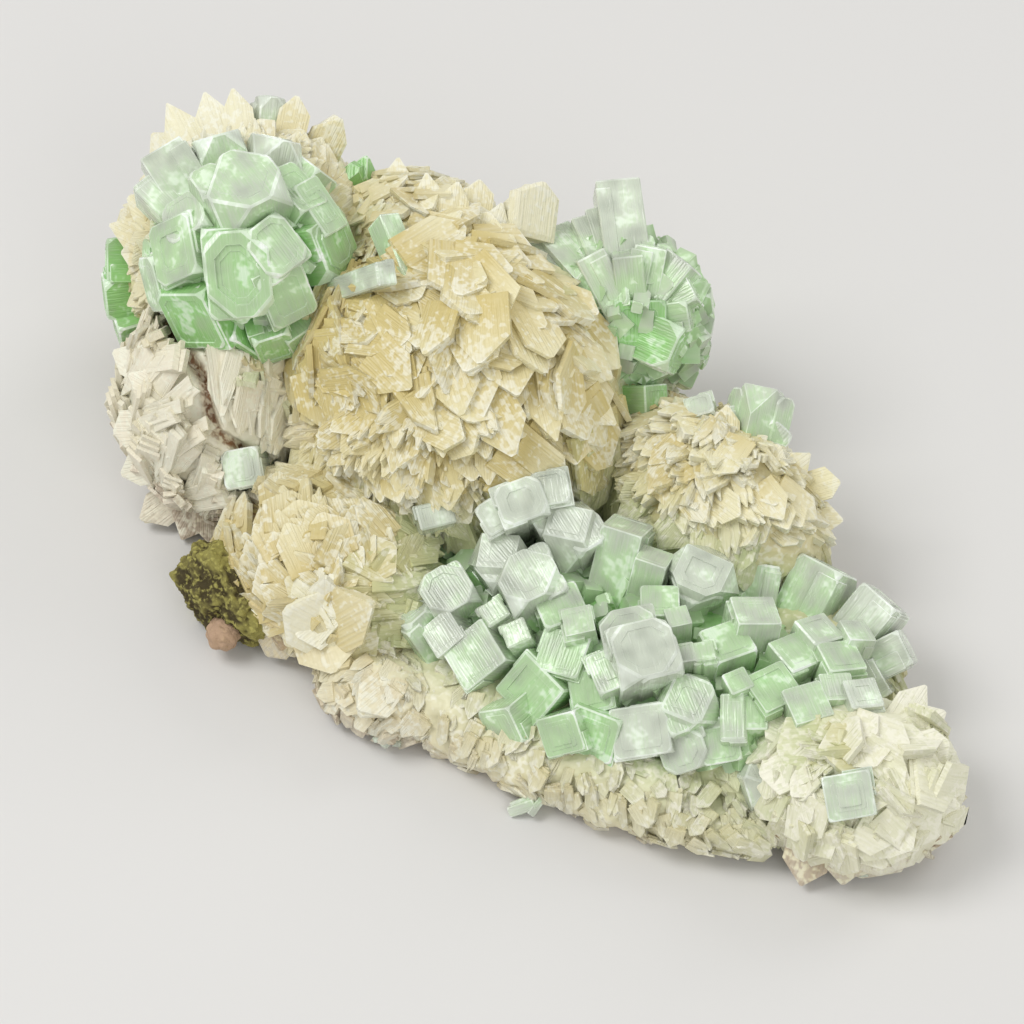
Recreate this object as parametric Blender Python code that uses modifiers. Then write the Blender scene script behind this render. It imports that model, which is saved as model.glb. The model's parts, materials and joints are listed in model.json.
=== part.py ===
"""Green apophyllite on stilbite: a hand-sized mineral specimen that rests on its flat-cut underside.

Cream stilbite grew as a crust of overlapping domes over a lump of basalt, and blocky apophyllite
crystals grew on the domes: a ball at the tall end, a fan behind, and a long druse along the front.
+X runs along the specimen towards its low end, +Y towards its back, and +Z up from the cut.
Lengths below are in millimetres. A place on the specimen is given as it is seen in the reference
picture: a pixel, the dome that it lies on, and how far it stands off that dome.
"""

import math
import random

import bmesh
import bpy
from mathutils import Matrix, Vector, noise

MM = 0.001

# The reference picture's line of sight
PICTURE_SIDE = 1024
PICTURE_MM_PER_PIXEL = 0.14
PICTURE_AZIMUTH = math.radians(45)
PICTURE_ELEVATION = math.radians(50)
PICTURE_DISTANCE = 600.0
PICTURE_TARGET = Vector((0, 0, 20))

# The middle of the finished specimen, at the height of its cut: the part's origin
MIDDLE = Vector((-2.2, 4.49, 0))

# Solids that touch keep this gap
GAP = 0.3

# The specimen's domes: centre, radii and turn about Z
DOMES = {
    "upper": ((-59, 5, 23), (18.5, 17.5, 22), 0),
    "wall": ((-47, -15.5, 14), (13.5, 10.5, 15.5), 0),
    "centre": ((-23, 10, 18), (26, 22, 25), 0),
    "ridge": ((-34, 18, 22.5), (19, 13, 20.5), -15),
    "foot": ((-17, -18, 8), (18, 13.5, 12.5), 5),
    "right": ((16, 24, 12), (18, 12, 15.5), 0),
    "bed": ((29, 4, 5), (36, 18.5, 9.5), 12),
    "shoulder": ((43, 18, 6), (15, 9.5, 9.5), -20),
    "bottom": ((22, -17.5, 4.5), (37, 8.5, 6.5), 16),
    "lip": ((2, -26.8, 4.5), (10.5, 6.5, 6.5), 20),
    "end": ((58, 6.5, 8), (15, 12.5, 10.5), 10),
    "back": ((-11, 29, 10), (15.5, 8.5, 12.5), 0),
    "heart": ((-20, 4, 3), (44, 19, 8), 0),
    "ball": ((-52.2, -0.8, 33.2), (13.2, 13.2, 13.2), 0),
    "fan": ((-12, 36, 24), (11.5, 10.5, 11.5), 0),
    "druse": ((24.5, 1.5, 8.8), (34.5, 14.5, 8.1), 13),
}
CRUST_DOMES = (
    "upper", "wall", "centre", "ridge", "foot", "right", "bed", "shoulder", "bottom", "lip", "end", "back",
    "heart",
)

# The crust's own surface: domes and their spray of blades in one skin, simplified
CRUST_VOXEL = 0.8
CRUST_TRIANGLES = 1100

# Angle between an apophyllite's long axis and the normal of a pyramid face
PYRAMID_TILT = math.radians(60.4)
# Angle between a stilbite blade's length and the normal of a tip face
BLADE_TIP_TILT = math.radians(50)

BASALT_CENTRE = (-26, -30.5, 6)
BASALT_RADII = (9.2, 6.0, 7.2)
BASALT_KNOB = ((-22.5, -35.2, 4.0), 2.6)
# Its lumps: how far they stand out, and how many broad and fine ones go round it
BASALT_LUMP = 1.76
BASALT_BROAD = 1.7
BASALT_FINE = 4.0
BASALT_PATTERN_START = Vector((3, 1, 4))

# Apophyllite crystals: tip, root or None for straight out, side, depth, stand, turn, corner cut
BALL = (
    ((240, 178), None, 11.0, 10.5, 5.5, 32, 0.42),
    ((276, 138), None, 7.5, 7.5, 3.5, 25, 0.40),
    ((160, 152), (200, 215), 6.6, 6.0, 5.6, 5, 0.0),
    ((150, 184), (196, 230), 6.0, 6.0, 4.4, 0, 0.0),
    ((238, 275), None, 9.2, 12.5, 3.0, 5, 0.38),
    ((276, 246), None, 7.0, 8.0, 3.4, 38, 0.25),
    ((190, 322), None, 9.0, 9.5, 2.4, 25, 0.12),
    ((276, 350), None, 5.6, 6.5, 3.0, 10, 0.15),
    ((308, 342), None, 5.4, 6.0, 3.2, 14, 0.10),
    ((337, 322), None, 6.2, 7.0, 3.6, 30, 0.15),
    ((338, 245), None, 8.5, 8.5, 2.6, 35, 0.20),
    ((322, 205), None, 6.0, 8.5, 3.0, 48, 0.10),
    ((298, 186), None, 6.0, 8.0, 2.8, 48, 0.12),
    ((318, 168), None, 5.5, 5.5, 2.8, 50, 0.10),
    ((172, 250), None, 8.0, 9.0, 2.6, 15, 0.15),
    ((150, 285), None, 6.0, 8.0, 2.4, 30, 0.20),
    ((182, 215), None, 7.0, 7.0, 2.4, 15, 0.20),
    ((215, 135), None, 7.0, 7.0, 2.8, 10, 0.30),
    ((288, 296), None, 7.0, 8.5, 2.8, 20, 0.15),
    ((232, 354), None, 6.5, 6.5, 2.4, 40, 0.10),
)
FAN = (
    ((616, 187), (632, 300), 6.4, 6.2, 4.6, 3, 0.0),
    ((588, 254), (620, 316), 4.4, 8.0, 1.8, 4, 0.0),
    ((584, 226), (618, 300), 4.6, 6.0, 2.0, 4, 0.0),
    ((627, 252), (634, 316), 4.4, 6.0, 1.8, 0, 0.0),
    ((652, 246), (640, 310), 4.6, 6.0, 1.8, -4, 0.08),
    ((685, 262), (648, 310), 4.8, 7.0, 1.8, -20, 0.12),
    ((694, 288), (650, 312), 5.0, 6.0, 1.4, -30, 0.12),
    ((692, 312), (645, 318), 4.6, 5.5, 1.2, -50, 0.15),
    ((680, 352), (630, 330), 7.0, 7.0, 1.6, 35, 0.20),
    ((548, 242), (600, 300), 6.0, 6.5, 2.4, 12, 0.05),
    ((526, 240), (590, 300), 5.0, 5.5, 2.6, 20, 0.05),
    ((570, 285), (615, 320), 6.0, 6.0, 1.0, 15, 0.10),
    ((608, 285), None, 5.5, 6.5, 0.8, 5, 0.10),
    ((640, 325), None, 7.5, 7.0, 0.6, 0, 0.10),
    ((600, 215), (626, 300), 4.6, 5.0, 2.6, 0, 0.05),
)
DRUSE = (
    ((569, 524), (578, 560), 8.0, 8.0, 8.5, 30, 0.50),
    ((496, 549), (510, 580), 7.4, 7.4, 6.8, 35, 0.45),
    ((527, 574), (536, 608), 8.4, 8.0, 6.6, 25, 0.42),
    ((628, 525), (610, 600), 6.0, 6.4, 7.4, -18, 0.06),
    ((655, 556), (640, 615), 4.6, 4.6, 6.0, -18, 0.06),
    ((703, 568), (696, 600), 8.4, 8.0, 6.8, 20, 0.50),
    ((446, 588), (458, 618), 7.0, 7.0, 7.0, 30, 0.32),
    ((410, 612), (440, 656), 5.0, 5.0, 8.5, 35, 0.25),
    ((473, 655), None, 7.6, 7.2, 6.4, 34, 0.05),
    ((442, 633), None, 5.2, 5.0, 7.4, 34, 0.05),
    ((529, 690), None, 8.0, 7.2, 4.8, -42, 0.0),
    ((493, 611), None, 3.6, 3.6, 5.4, 30, 0.0),
    ((515, 632), None, 3.6, 3.6, 5.6, 20, 0.0),
    ((578, 620), None, 4.2, 4.2, 5.4, 10, 0.05),
    ((592, 735), None, 7.2, 6.6, 5.2, -15, 0.08),
    ((645, 648), (640, 676), 8.6, 8.2, 7.6, 15, 0.30),
    ((612, 668), None, 6.0, 6.0, 4.6, 20, 0.10),
    ((628, 629), None, 7.6, 7.0, 5.4, 10, 0.30),
    ((640, 731), None, 8.2, 7.0, 4.4, 8, 0.08),
    ((688, 699), None, 7.6, 7.4, 4.4, 20, 0.40),
    ((682, 750), None, 6.6, 6.2, 3.2, 20, 0.32),
    ((446, 706), (474, 700), 6.2, 5.8, 6.0, 28, 0.05),
    ((756, 610), (745, 660), 6.2, 6.0, 5.8, 10, 0.05),
    ((760, 560), (750, 616), 6.0, 5.6, 6.6, -5, 0.0),
    ((830, 566), (802, 622), 7.4, 7.0, 6.8, -32, 0.14),
    ((886, 598), (850, 642), 6.4, 6.2, 6.4, -30, 0.10),
    ((908, 646), (864, 668), 5.2, 5.2, 5.4, -30, 0.14),
    ((884, 674), (856, 690), 5.6, 5.4, 6.0, -20, 0.10),
    ((820, 628), None, 5.4, 5.2, 6.4, 34, 0.0),
    ((798, 650), None, 6.2, 6.0, 4.4, 34, 0.0),
    ((858, 630), None, 4.2, 4.2, 8.6, 20, 0.05),
    ((774, 686), None, 6.2, 6.2, 4.6, 30, 0.05),
    ((808, 702), None, 5.6, 5.6, 6.4, 20, 0.05),
    ((733, 716), None, 3.4, 6.6, 3.8, 0, 0.0),
    ((756, 712), None, 3.2, 5.0, 3.4, 0, 0.0),
    ((838, 686), None, 4.6, 4.4, 6.6, 10, 0.05),
    ((864, 692), None, 4.8, 4.8, 8.4, 15, 0.0),
    ((684, 652), None, 3.0, 3.0, 5.4, 10, 0.0),
    ((704, 650), None, 3.0, 3.0, 5.4, 10, 0.0),
    ((738, 680), None, 3.4, 3.4, 4.6, 25, 0.0),
    ((678, 616), None, 3.2, 3.2, 5.4, 15, 0.05),
    ((560, 604), None, 6.4, 6.0, 4.2, 20, 0.10),
    ((562, 652), None, 6.6, 6.4, 3.8, -20, 0.08),
    ((590, 690), None, 6.0, 6.0, 3.2, 10, 0.10),
    ((728, 640), None, 6.4, 6.0, 4.0, 25, 0.08),
    ((660, 600), None, 5.4, 5.4, 4.6, 0, 0.08),
    ((560, 735), None, 6.2, 5.6, 7.5, 20, 0.08),
    ((500, 728), None, 6.0, 5.6, 9.0, 30, 0.08),
    ((720, 745), None, 5.4, 5.0, 2.4, 10, 0.10),
    ((842, 655), None, 5.8, 5.4, 6.8, 20, 0.08),
)
VALLEY = (
    ((521, 500), (530, 540), 6.8, 6.0, 5.2, 20, 0.20),
    ((550, 487), (552, 530), 5.2, 5.0, 4.8, 10, 0.15),
    ((496, 514), (510, 546), 4.8, 4.8, 4.4, 30, 0.15),
)
EDGE = (
    ((106, 262), (150, 262), 5.4, 6.4, 2.2, 10, 0.20),
    ((104, 296), (150, 290), 5.6, 6.4, 2.0, 20, 0.20),
    ((116, 330), (156, 318), 5.0, 5.6, 1.8, 10, 0.15),
)
SPUR = (
    ((764, 388), (752, 440), 6.6, 6.6, 3.6, 30, 0.45),
    ((780, 424), (756, 450), 4.6, 4.6, 2.6, 20, 0.20),
    ((738, 408), (745, 440), 4.4, 4.0, 2.0, 10, 0.15),
)
SADDLE = (((657, 402), (605, 402), 4.8, 5.0, 3.6, 4, 0.0),)
SMALL_SPUR = (((699, 404), (706, 430), 3.8, 3.8, 1.8, 10, 0.20),)
CROWN = (((271, 97), (268, 130), 4.2, 4.2, 2.8, 20, 0.35),)
POINT = (((366, 155), (352, 196), 5.4, 5.4, 4.6, 20, 0.95),)
LEANING = (((383, 220), (422, 316), 3.4, 4.0, 4.0, 30, 0.0),)
WALL = (((241, 468), (262, 470), 5.6, 5.6, 1.6, 10, 0.15),)
PALE = (((436, 514), (425, 540), 5.2, 3.6, 2.6, 15, 0.0),)
PRISM = (((387, 273), (296, 306), 3.0, 3.4, 5.6, 10, 0.0),)
ROUNDED = (((763, 766), (762, 790), 6.4, 6.4, 3.2, 25, 0.55),)
END = (((849, 796), None, 6.6, 6.2, 2.2, 10, 0.08),)

# Clusters with a grown-together core: its depth under the dome
CORED = {
    "apophyllite_ball": ("ball", BALL, 1.0),
    "apophyllite_fan": ("fan", FAN, 3.6),
    "apophyllite_druse": ("druse", DRUSE, 0.4),
}
# Crystals outside the clusters: their dome, and the cluster that they stop short of
LOOSE = {
    "apophyllite_valley": ("centre", VALLEY, "apophyllite_druse"),
    "apophyllite_edge": ("upper", EDGE, "apophyllite_ball"),
    "apophyllite_spur": ("right", SPUR, None),
    "apophyllite_saddle": ("back", SADDLE, "apophyllite_fan"),
    "apophyllite_spur_small": ("right", SMALL_SPUR, None),
    "apophyllite_crown": ("upper", CROWN, "apophyllite_ball"),
    "apophyllite_point": ("upper", POINT, "apophyllite_ball"),
    "apophyllite_leaning": ("centre", LEANING, "apophyllite_ball"),
    "apophyllite_prism": ("centre", PRISM, "apophyllite_ball"),
    "apophyllite_wall": ("wall", WALL, None),
    "apophyllite_pale": ("centre", PALE, "apophyllite_druse"),
    "apophyllite_rounded": ("bed", ROUNDED, "apophyllite_druse"),
    "apophyllite_end": ("end", END, None),
}
CRYSTAL_SINK = 3.5
# Crystals on a cluster's far side, which the picture hides: how many places are tried, side, and stand
FAR_SIDES = {"fan": (20, (5.0, 7.0), 2.0)}
FAR_SEED = 7

# Stilbite blades: dome, tip, root, width, thickness, stand
BLADES = (
    ("centre", (516, 455), (478, 385), 7.0, 2.0, 2.6),
    ("centre", (552, 443), (530, 368), 5.6, 2.0, 2.6),
    ("centre", (577, 466), (562, 420), 4.4, 1.6, 2.4),
    ("centre", (614, 425), (572, 388), 5.0, 1.6, 2.6),
    ("centre", (644, 351), (590, 345), 5.4, 1.8, 3.2),
    ("centre", (622, 332), (572, 325), 4.2, 1.6, 2.6),
    ("centre", (598, 314), (535, 292), 5.0, 1.8, 2.6),
    ("centre", (322, 549), (334, 480), 3.6, 1.6, 2.4),
    ("centre", (409, 552), (372, 518), 4.0, 1.8, 2.6),
    ("centre", (402, 505), (398, 470), 4.4, 1.8, 2.8),
    ("centre", (463, 318), (505, 314), 3.6, 1.6, 2.4),
    ("foot", (285, 604), (340, 632), 9.0, 2.6, 2.8),
    ("foot", (400, 668), (340, 640), 9.0, 2.6, 2.4),
    ("foot", (372, 603), (322, 622), 8.0, 2.0, 3.6),
    ("right", (807, 456), (770, 480), 4.4, 1.6, 2.2),
    ("right", (840, 480), (795, 495), 4.6, 1.6, 2.4),
    ("right", (842, 520), (800, 515), 4.6, 1.6, 2.2),
    ("right", (779, 447), (755, 475), 4.0, 1.6, 1.8),
    ("right", (724, 408), (722, 450), 4.2, 1.6, 1.8),
    ("right", (650, 497), (682, 442), 3.2, 1.4, 2.2),
    ("ridge", (397, 162), (400, 215), 4.6, 1.8, 2.2),
    ("ridge", (455, 184), (450, 235), 4.6, 1.8, 2.2),
    ("ridge", (478, 183), (470, 235), 4.4, 1.8, 2.6),
    ("ridge", (499, 206), (480, 255), 4.6, 1.8, 2.2),
    ("ridge", (530, 182), (524, 240), 7.6, 5.0, 4.4),
    ("ridge", (560, 258), (515, 290), 5.0, 1.8, 2.2),
    ("upper", (172, 106), (200, 160), 5.0, 2.0, 2.6),
    ("upper", (204, 97), (220, 150), 4.6, 1.8, 2.2),
    ("upper", (233, 93), (240, 150), 4.6, 1.8, 2.4),
    ("upper", (298, 99), (286, 150), 4.6, 1.8, 2.4),
    ("upper", (338, 116), (316, 165), 5.6, 3.0, 2.8),
    ("upper", (156, 137), (190, 190), 4.6, 1.8, 2.4),
    ("upper", (132, 197), (175, 230), 4.6, 1.8, 2.0),
    ("upper", (114, 226), (160, 250), 4.6, 1.8, 2.4),
    ("wall", (119, 352), (165, 380), 5.0, 2.0, 1.6),
    ("wall", (131, 376), (170, 400), 4.6, 2.0, 1.2),
    ("wall", (118, 430), (165, 430), 5.6, 2.2, 1.8),
    ("wall", (126, 470), (170, 460), 5.0, 2.2, 1.6),
    ("wall", (142, 520), (180, 490), 5.6, 2.2, 2.0),
    ("wall", (180, 541), (200, 500), 5.6, 2.2, 2.2),
    ("wall", (213, 545), (215, 500), 5.6, 2.2, 1.8),
    ("end", (964, 788), (915, 775), 6.0, 2.0, 2.4),
    ("end", (958, 806), (905, 790), 5.0, 2.0, 2.2),
    ("end", (948, 744), (905, 755), 5.4, 2.0, 2.2),
    ("end", (940, 713), (900, 740), 5.0, 2.0, 2.4),
    ("end", (921, 688), (890, 730), 4.6, 2.0, 2.0),
    ("end", (912, 850), (880, 815), 5.4, 2.0, 2.2),
    ("end", (882, 868), (865, 825), 5.4, 2.0, 2.0),
    ("end", (846, 880), (842, 835), 5.6, 2.0, 2.2),
    ("end", (798, 882), (812, 835), 6.4, 2.4, 2.6),
    ("bottom", (756, 868), (756, 825), 5.6, 2.4, 1.6),
    ("bottom", (700, 861), (704, 815), 5.6, 2.4, 1.2),
    ("bottom", (640, 848), (650, 800), 5.6, 2.4, 1.4),
    ("bottom", (582, 838), (596, 790), 5.6, 2.4, 1.4),
    ("bottom", (530, 812), (550, 768), 5.6, 2.4, 1.2),
    ("bottom", (468, 796), (492, 750), 5.6, 2.4, 1.4),
    ("bottom", (400, 760), (430, 715), 6.0, 2.6, 1.8),
    ("lip", (358, 714), (390, 684), 6.0, 2.6, 2.0),
    ("foot", (326, 684), (350, 650), 6.0, 2.6, 2.0),
    ("foot", (270, 650), (300, 620), 5.4, 2.4, 1.2),
)
# The spray of blades over every dome
SPRAY_SPACING = 5.0
SPRAY_WIDTH = (4.0, 7.0)
SPRAY_THICKNESS = 2.0
SPRAY_STAND = (1.0, 2.6)
SPRAY_LEAN = 0.6
SPRAY_LENGTH = 6.0

STILBITE = ((0.86, 0.77, 0.60, 1.0), 0.55)
APOPHYLLITE = ((0.55, 0.82, 0.66, 1.0), 0.08)
BASALT = ((0.22, 0.20, 0.07, 1.0), 0.9)

ACROSS = Vector((math.cos(PICTURE_AZIMUTH), math.sin(PICTURE_AZIMUTH), 0))
TOWARDS_VIEWER = Vector((
    math.sin(PICTURE_AZIMUTH) * math.cos(PICTURE_ELEVATION),
    -math.cos(PICTURE_AZIMUTH) * math.cos(PICTURE_ELEVATION),
    math.sin(PICTURE_ELEVATION),
))
UPWARDS = TOWARDS_VIEWER.cross(ACROSS)
EYE = PICTURE_TARGET + TOWARDS_VIEWER * PICTURE_DISTANCE


def sight_line(pixel):
    """Unit vector from the eye through a pixel of the reference picture."""
    half = PICTURE_SIDE / 2
    reach = PICTURE_DISTANCE / PICTURE_MM_PER_PIXEL
    return (ACROSS * (pixel[0] - half) + UPWARDS * (half - pixel[1]) - TOWARDS_VIEWER * reach).normalized()


def dome_frame(name, above=0.0):
    """The matrix that takes a unit sphere to a dome, standing `above` off it."""
    centre, radii, turn = DOMES[name]
    swell = Matrix.Diagonal([radius + above for radius in radii]).to_4x4()
    return Matrix.Translation(centre) @ Matrix.Rotation(math.radians(turn), 4, "Z") @ swell


def seen(name, pixel, above=0.0):
    """Where a sight line meets a dome, or passes nearest to it."""
    inwards = dome_frame(name, above).inverted()
    line = sight_line(pixel)
    start = inwards @ EYE
    along = inwards.to_3x3() @ line
    reach = -start.dot(along) / along.length_squared
    miss = (start + along * reach).length_squared
    if miss < 1:
        reach -= math.sqrt((1 - miss) / along.length_squared)
    return EYE + line * reach


def outward(name, point):
    """Unit normal of a dome at a point near its surface."""
    inwards = dome_frame(name).inverted()
    return (inwards.to_3x3().transposed() @ (inwards @ point)).normalized()


def inside_depth(name, point):
    """How deep a point lies in a dome: 1 at its centre, 0 at its surface, negative outside."""
    return 1 - (dome_frame(name).inverted() @ point).length


def block(width, depth, height, cuts):
    """A block whose top face is centred on the origin, trimmed by planes, each a point and a normal."""
    made = bmesh.new()
    shape = Matrix.Translation((0, 0, -height / 2)) @ Matrix.Diagonal((width, depth, height, 1))
    bmesh.ops.create_cube(made, size=1, matrix=shape)
    for point, normal in cuts:
        everything = made.verts[:] + made.edges[:] + made.faces[:]
        bmesh.ops.bisect_plane(made, geom=everything, plane_co=point, plane_no=normal, clear_outer=True)
        bmesh.ops.holes_fill(made, edges=[edge for edge in made.edges if edge.is_boundary], sides=0)
    return made


def crystal(tip, axis, side, depth, length, turn, corner, grow=0.0):
    """A square prism with a flat top whose four corners are cut by pyramid faces."""
    cuts = []
    half = Vector((side / 2 + grow, depth / 2 + grow))
    for corner_x in (-1, 1):
        for corner_y in (-1, 1):
            if corner <= 0:
                continue
            slope = math.sin(PYRAMID_TILT) / math.sqrt(2)
            normal = Vector((corner_x * slope, corner_y * slope, math.cos(PYRAMID_TILT)))
            back = corner * min(half)
            cuts.append((Vector((corner_x * (half.x - back), corner_y * (half.y - back), 0)), normal))
    made = block(side + 2 * grow, depth + 2 * grow, length + 2 * grow, cuts)
    place(made, tip + axis * grow, axis, turn)
    return made


def blade(tip, axis, width, thickness, length, turn, blunt, grow=0.0):
    """A thin stilbite plate that narrows to a pointed tip."""
    slope = Vector((math.sin(BLADE_TIP_TILT), 0, math.cos(BLADE_TIP_TILT)))
    cuts = [
        (Vector((blunt * width / 2, 0, grow)), slope),
        (Vector((-blunt * width / 2, 0, grow)), Vector((-slope.x, 0, slope.z))),
    ]
    made = block(width + 2 * grow, thickness + 2 * grow, length + grow, cuts)
    place(made, tip + axis * grow, axis, turn)
    return made


def place(made, tip, axis, turn):
    """Moves a shape from the origin to its tip, with its Z along the axis and its X turned from ACROSS."""
    flat = (ACROSS - axis * ACROSS.dot(axis)).normalized()
    flat = Matrix.Rotation(math.radians(turn), 3, axis) @ flat
    turned = Matrix((flat, axis.cross(flat), axis)).transposed()
    made.transform(Matrix.Translation(tip) @ turned.to_4x4())


def gathered(name, shapes, collection):
    """One object, in metres, that holds every shape."""
    whole = bpy.data.meshes.new(name)
    joined = bmesh.new()
    for shape in shapes:
        shape.to_mesh(whole)
        shape.free()
        joined.from_mesh(whole)
    bmesh.ops.recalc_face_normals(joined, faces=joined.faces[:])
    joined.transform(Matrix.Scale(MM, 4))
    joined.to_mesh(whole)
    joined.free()
    made = bpy.data.objects.new(name, whole)
    collection.objects.link(made)
    return made


def boolean(target, cutter, operation):
    step = target.modifiers.new(operation.lower(), "BOOLEAN")
    step.operation = operation
    step.object = cutter
    step.solver = "EXACT"
    step.use_self = True


def settled(target):
    """Makes an object's modifiers permanent, and keeps its largest piece."""
    graph = bpy.context.evaluated_depsgraph_get()
    evaluated = target.evaluated_get(graph)
    final = bpy.data.meshes.new_from_object(evaluated, depsgraph=graph)
    target.modifiers.clear()
    target.data = final
    joined = bmesh.new()
    joined.from_mesh(final)
    waiting = set(joined.faces)
    largest = set()
    while waiting:
        island = set()
        spreading = [waiting.pop()]
        while spreading:
            face = spreading.pop()
            island.add(face)
            paired = [edge for edge in face.edges if len(edge.link_faces) == 2]
            for other in [other for edge in paired for other in edge.link_faces]:
                if other in waiting:
                    waiting.remove(other)
                    spreading.append(other)
        if sum(face.calc_area() for face in island) > sum(face.calc_area() for face in largest):
            largest = island
    doomed = [face for face in joined.faces if face not in largest]
    bmesh.ops.delete(joined, geom=doomed, context="FACES")
    joined.to_mesh(final)
    joined.free()


def crystals_of(dome, rows, grow=0.0):
    """The crystals of a table, each on its dome."""
    made = []
    for tip_pixel, root_pixel, side, depth, stand, turn, corner in rows:
        tip = seen(dome, tip_pixel, stand)
        if root_pixel is None:
            axis = outward(dome, tip)
            length = stand + CRYSTAL_SINK
        else:
            reach = tip - seen(dome, root_pixel, -CRYSTAL_SINK)
            axis = reach.normalized()
            length = reach.length
        made.append(crystal(tip, axis, side, depth, length, turn, corner, grow))
    return made


def far_crystals_of(dome, grow=0.0):
    """Seeded crystals on the side of a cluster that faces away from the picture."""
    if dome not in FAR_SIDES:
        return []
    count, sides, stand = FAR_SIDES[dome]
    middle = Vector(DOMES[dome][0])

    def keep(point):
        away = (point - middle).normalized().dot(TOWARDS_VIEWER) < -0.3
        return away and all(inside_depth(other, point) < -0.06 for other in CRUST_DOMES)

    made = []
    for point, normal, chance in around(dome, count, stand, FAR_SEED, keep):
        side = chance.uniform(*sides)
        turn = chance.uniform(0, 90)
        made.append(crystal(point, normal, side, side, stand + CRYSTAL_SINK, turn, 0.2, grow))
    return made


def core_of(dome, shrink, grow=0.0):
    """The grown-together middle of a cluster, as a coarse faceted dome."""
    made = bmesh.new()
    bmesh.ops.create_icosphere(made, subdivisions=2, radius=1, matrix=dome_frame(dome, grow - shrink))
    return made


def around(dome, count, above, seed, keep):
    """Points spread over a dome, with their normals, where `keep` allows."""
    chance = random.Random(seed)
    found = []
    for step in range(count):
        height = 1 - 2 * (step + chance.random()) / count
        turn = step * math.radians(137.5) + chance.uniform(-0.3, 0.3)
        flat = math.sqrt(max(0.0, 1 - height * height))
        point = dome_frame(dome, above) @ Vector((flat * math.cos(turn), flat * math.sin(turn), height))
        if keep(point):
            found.append((point, outward(dome, point), chance))
    return found


def picked_blades():
    """The blades that the picture shows one by one."""
    made = []
    for dome, tip_pixel, root_pixel, width, thickness, stand in BLADES:
        tip = seen(dome, tip_pixel, stand)
        reach = tip - seen(dome, root_pixel, -2.0)
        made.append(blade(tip, reach.normalized(), width, thickness, reach.length, 0, 0.15))
    return made


def spray(dome, seed):
    """Blades that radiate from a dome wherever its surface is the crust's."""
    radii = DOMES[dome][1]
    area = 4 * math.pi * (radii[0] * radii[1] + radii[1] * radii[2] + radii[2] * radii[0]) / 3

    def keep(point):
        shallow = all(inside_depth(other, point) < 0.02 for other in CRUST_DOMES if other != dome)
        clear = all(inside_depth(other, point) < -0.16 for other in ("ball", "fan", "druse"))
        return shallow and clear and point.z > 1.5

    made = []
    for point, normal, chance in around(dome, int(area / SPRAY_SPACING ** 2), 0.0, seed, keep):
        lean = Vector([chance.uniform(-1, 1) for _ in range(3)])
        axis = (normal + lean * SPRAY_LEAN).normalized()
        tip = point + axis * chance.uniform(*SPRAY_STAND)
        width = chance.uniform(*SPRAY_WIDTH)
        turn = chance.uniform(0, 180)
        made.append(blade(tip, axis, width, SPRAY_THICKNESS, SPRAY_LENGTH, turn, 0.2))
    return made


def crust_body(helpers):
    """The domes and their spray in one skin, with few enough faces to handle."""
    shapes = []
    for number, dome in enumerate(CRUST_DOMES):
        made = bmesh.new()
        bmesh.ops.create_icosphere(made, subdivisions=4, radius=1, matrix=dome_frame(dome))
        shapes.append(made)
        shapes += spray(dome, number)
    body = gathered("stilbite_crust", shapes, helpers)
    remesh = body.modifiers.new("one skin", "REMESH")
    remesh.mode = "VOXEL"
    remesh.voxel_size = CRUST_VOXEL * MM
    settled(body)
    simplify = body.modifiers.new("simplify", "DECIMATE")
    simplify.ratio = CRUST_TRIANGLES / (2 * len(body.data.vertices))
    simplify.use_collapse_triangulate = True
    settled(body)
    return body


def basalt(grow=0.0):
    """The lump of basalt that the crust grew on, and its small knob."""
    lump = bmesh.new()
    bmesh.ops.create_icosphere(lump, subdivisions=3, radius=1)
    for vertex in lump.verts:
        rough = noise.noise(vertex.co * BASALT_BROAD + BASALT_PATTERN_START)
        rough += 0.5 * noise.noise(vertex.co * BASALT_FINE)
        swell = [radius + BASALT_LUMP * rough + grow for radius in BASALT_RADII]
        vertex.co = Vector(BASALT_CENTRE) + Vector([vertex.co[i] * swell[i] for i in range(3)])
    knob = bmesh.new()
    centre, radius = BASALT_KNOB
    bmesh.ops.create_icosphere(
        knob, subdivisions=2, radius=radius + grow, matrix=Matrix.Translation(centre)
    )
    return lump, knob


def ground(helpers):
    """Everything below the cut that the specimen rests on."""
    return gathered("below_cut", [block(400, 400, 60, ())], helpers)


def collection(name):
    made = bpy.data.collections.new(name)
    bpy.context.scene.collection.children.link(made)
    return made


def material(name, finish):
    colour, roughness = finish
    made = bpy.data.materials.new(name)
    made.use_nodes = True
    shader = made.node_tree.nodes["Principled BSDF"]
    shader.inputs["Base Color"].default_value = colour
    shader.inputs["Roughness"].default_value = roughness
    shader.inputs["Metallic"].default_value = 0.0
    return made


def dressed(target, finish):
    target.data.materials.clear()
    target.data.materials.append(material(target.name, finish))


def handed_over(target, specimen, helpers):
    """Moves a finished solid to the part's origin and into the specimen's collection."""
    target.data.transform(Matrix.Translation(-MIDDLE * MM))
    helpers.objects.unlink(target)
    specimen.objects.link(target)


def cored(name, helpers):
    """A cluster grown round its core, and the same grown by the gap, which is its recess in the crust."""
    dome, rows, depth = CORED[name]
    solids = []
    for suffix, grow in (("", 0.0), ("_recess", GAP)):
        crystals = crystals_of(dome, rows, grow) + far_crystals_of(dome, grow)
        made = gathered(name + suffix, crystals, helpers)
        boolean(made, gathered(made.name + "_core", [core_of(dome, depth, grow)], helpers), "UNION")
        settled(made)
        solids.append(made)
    return solids


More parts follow.
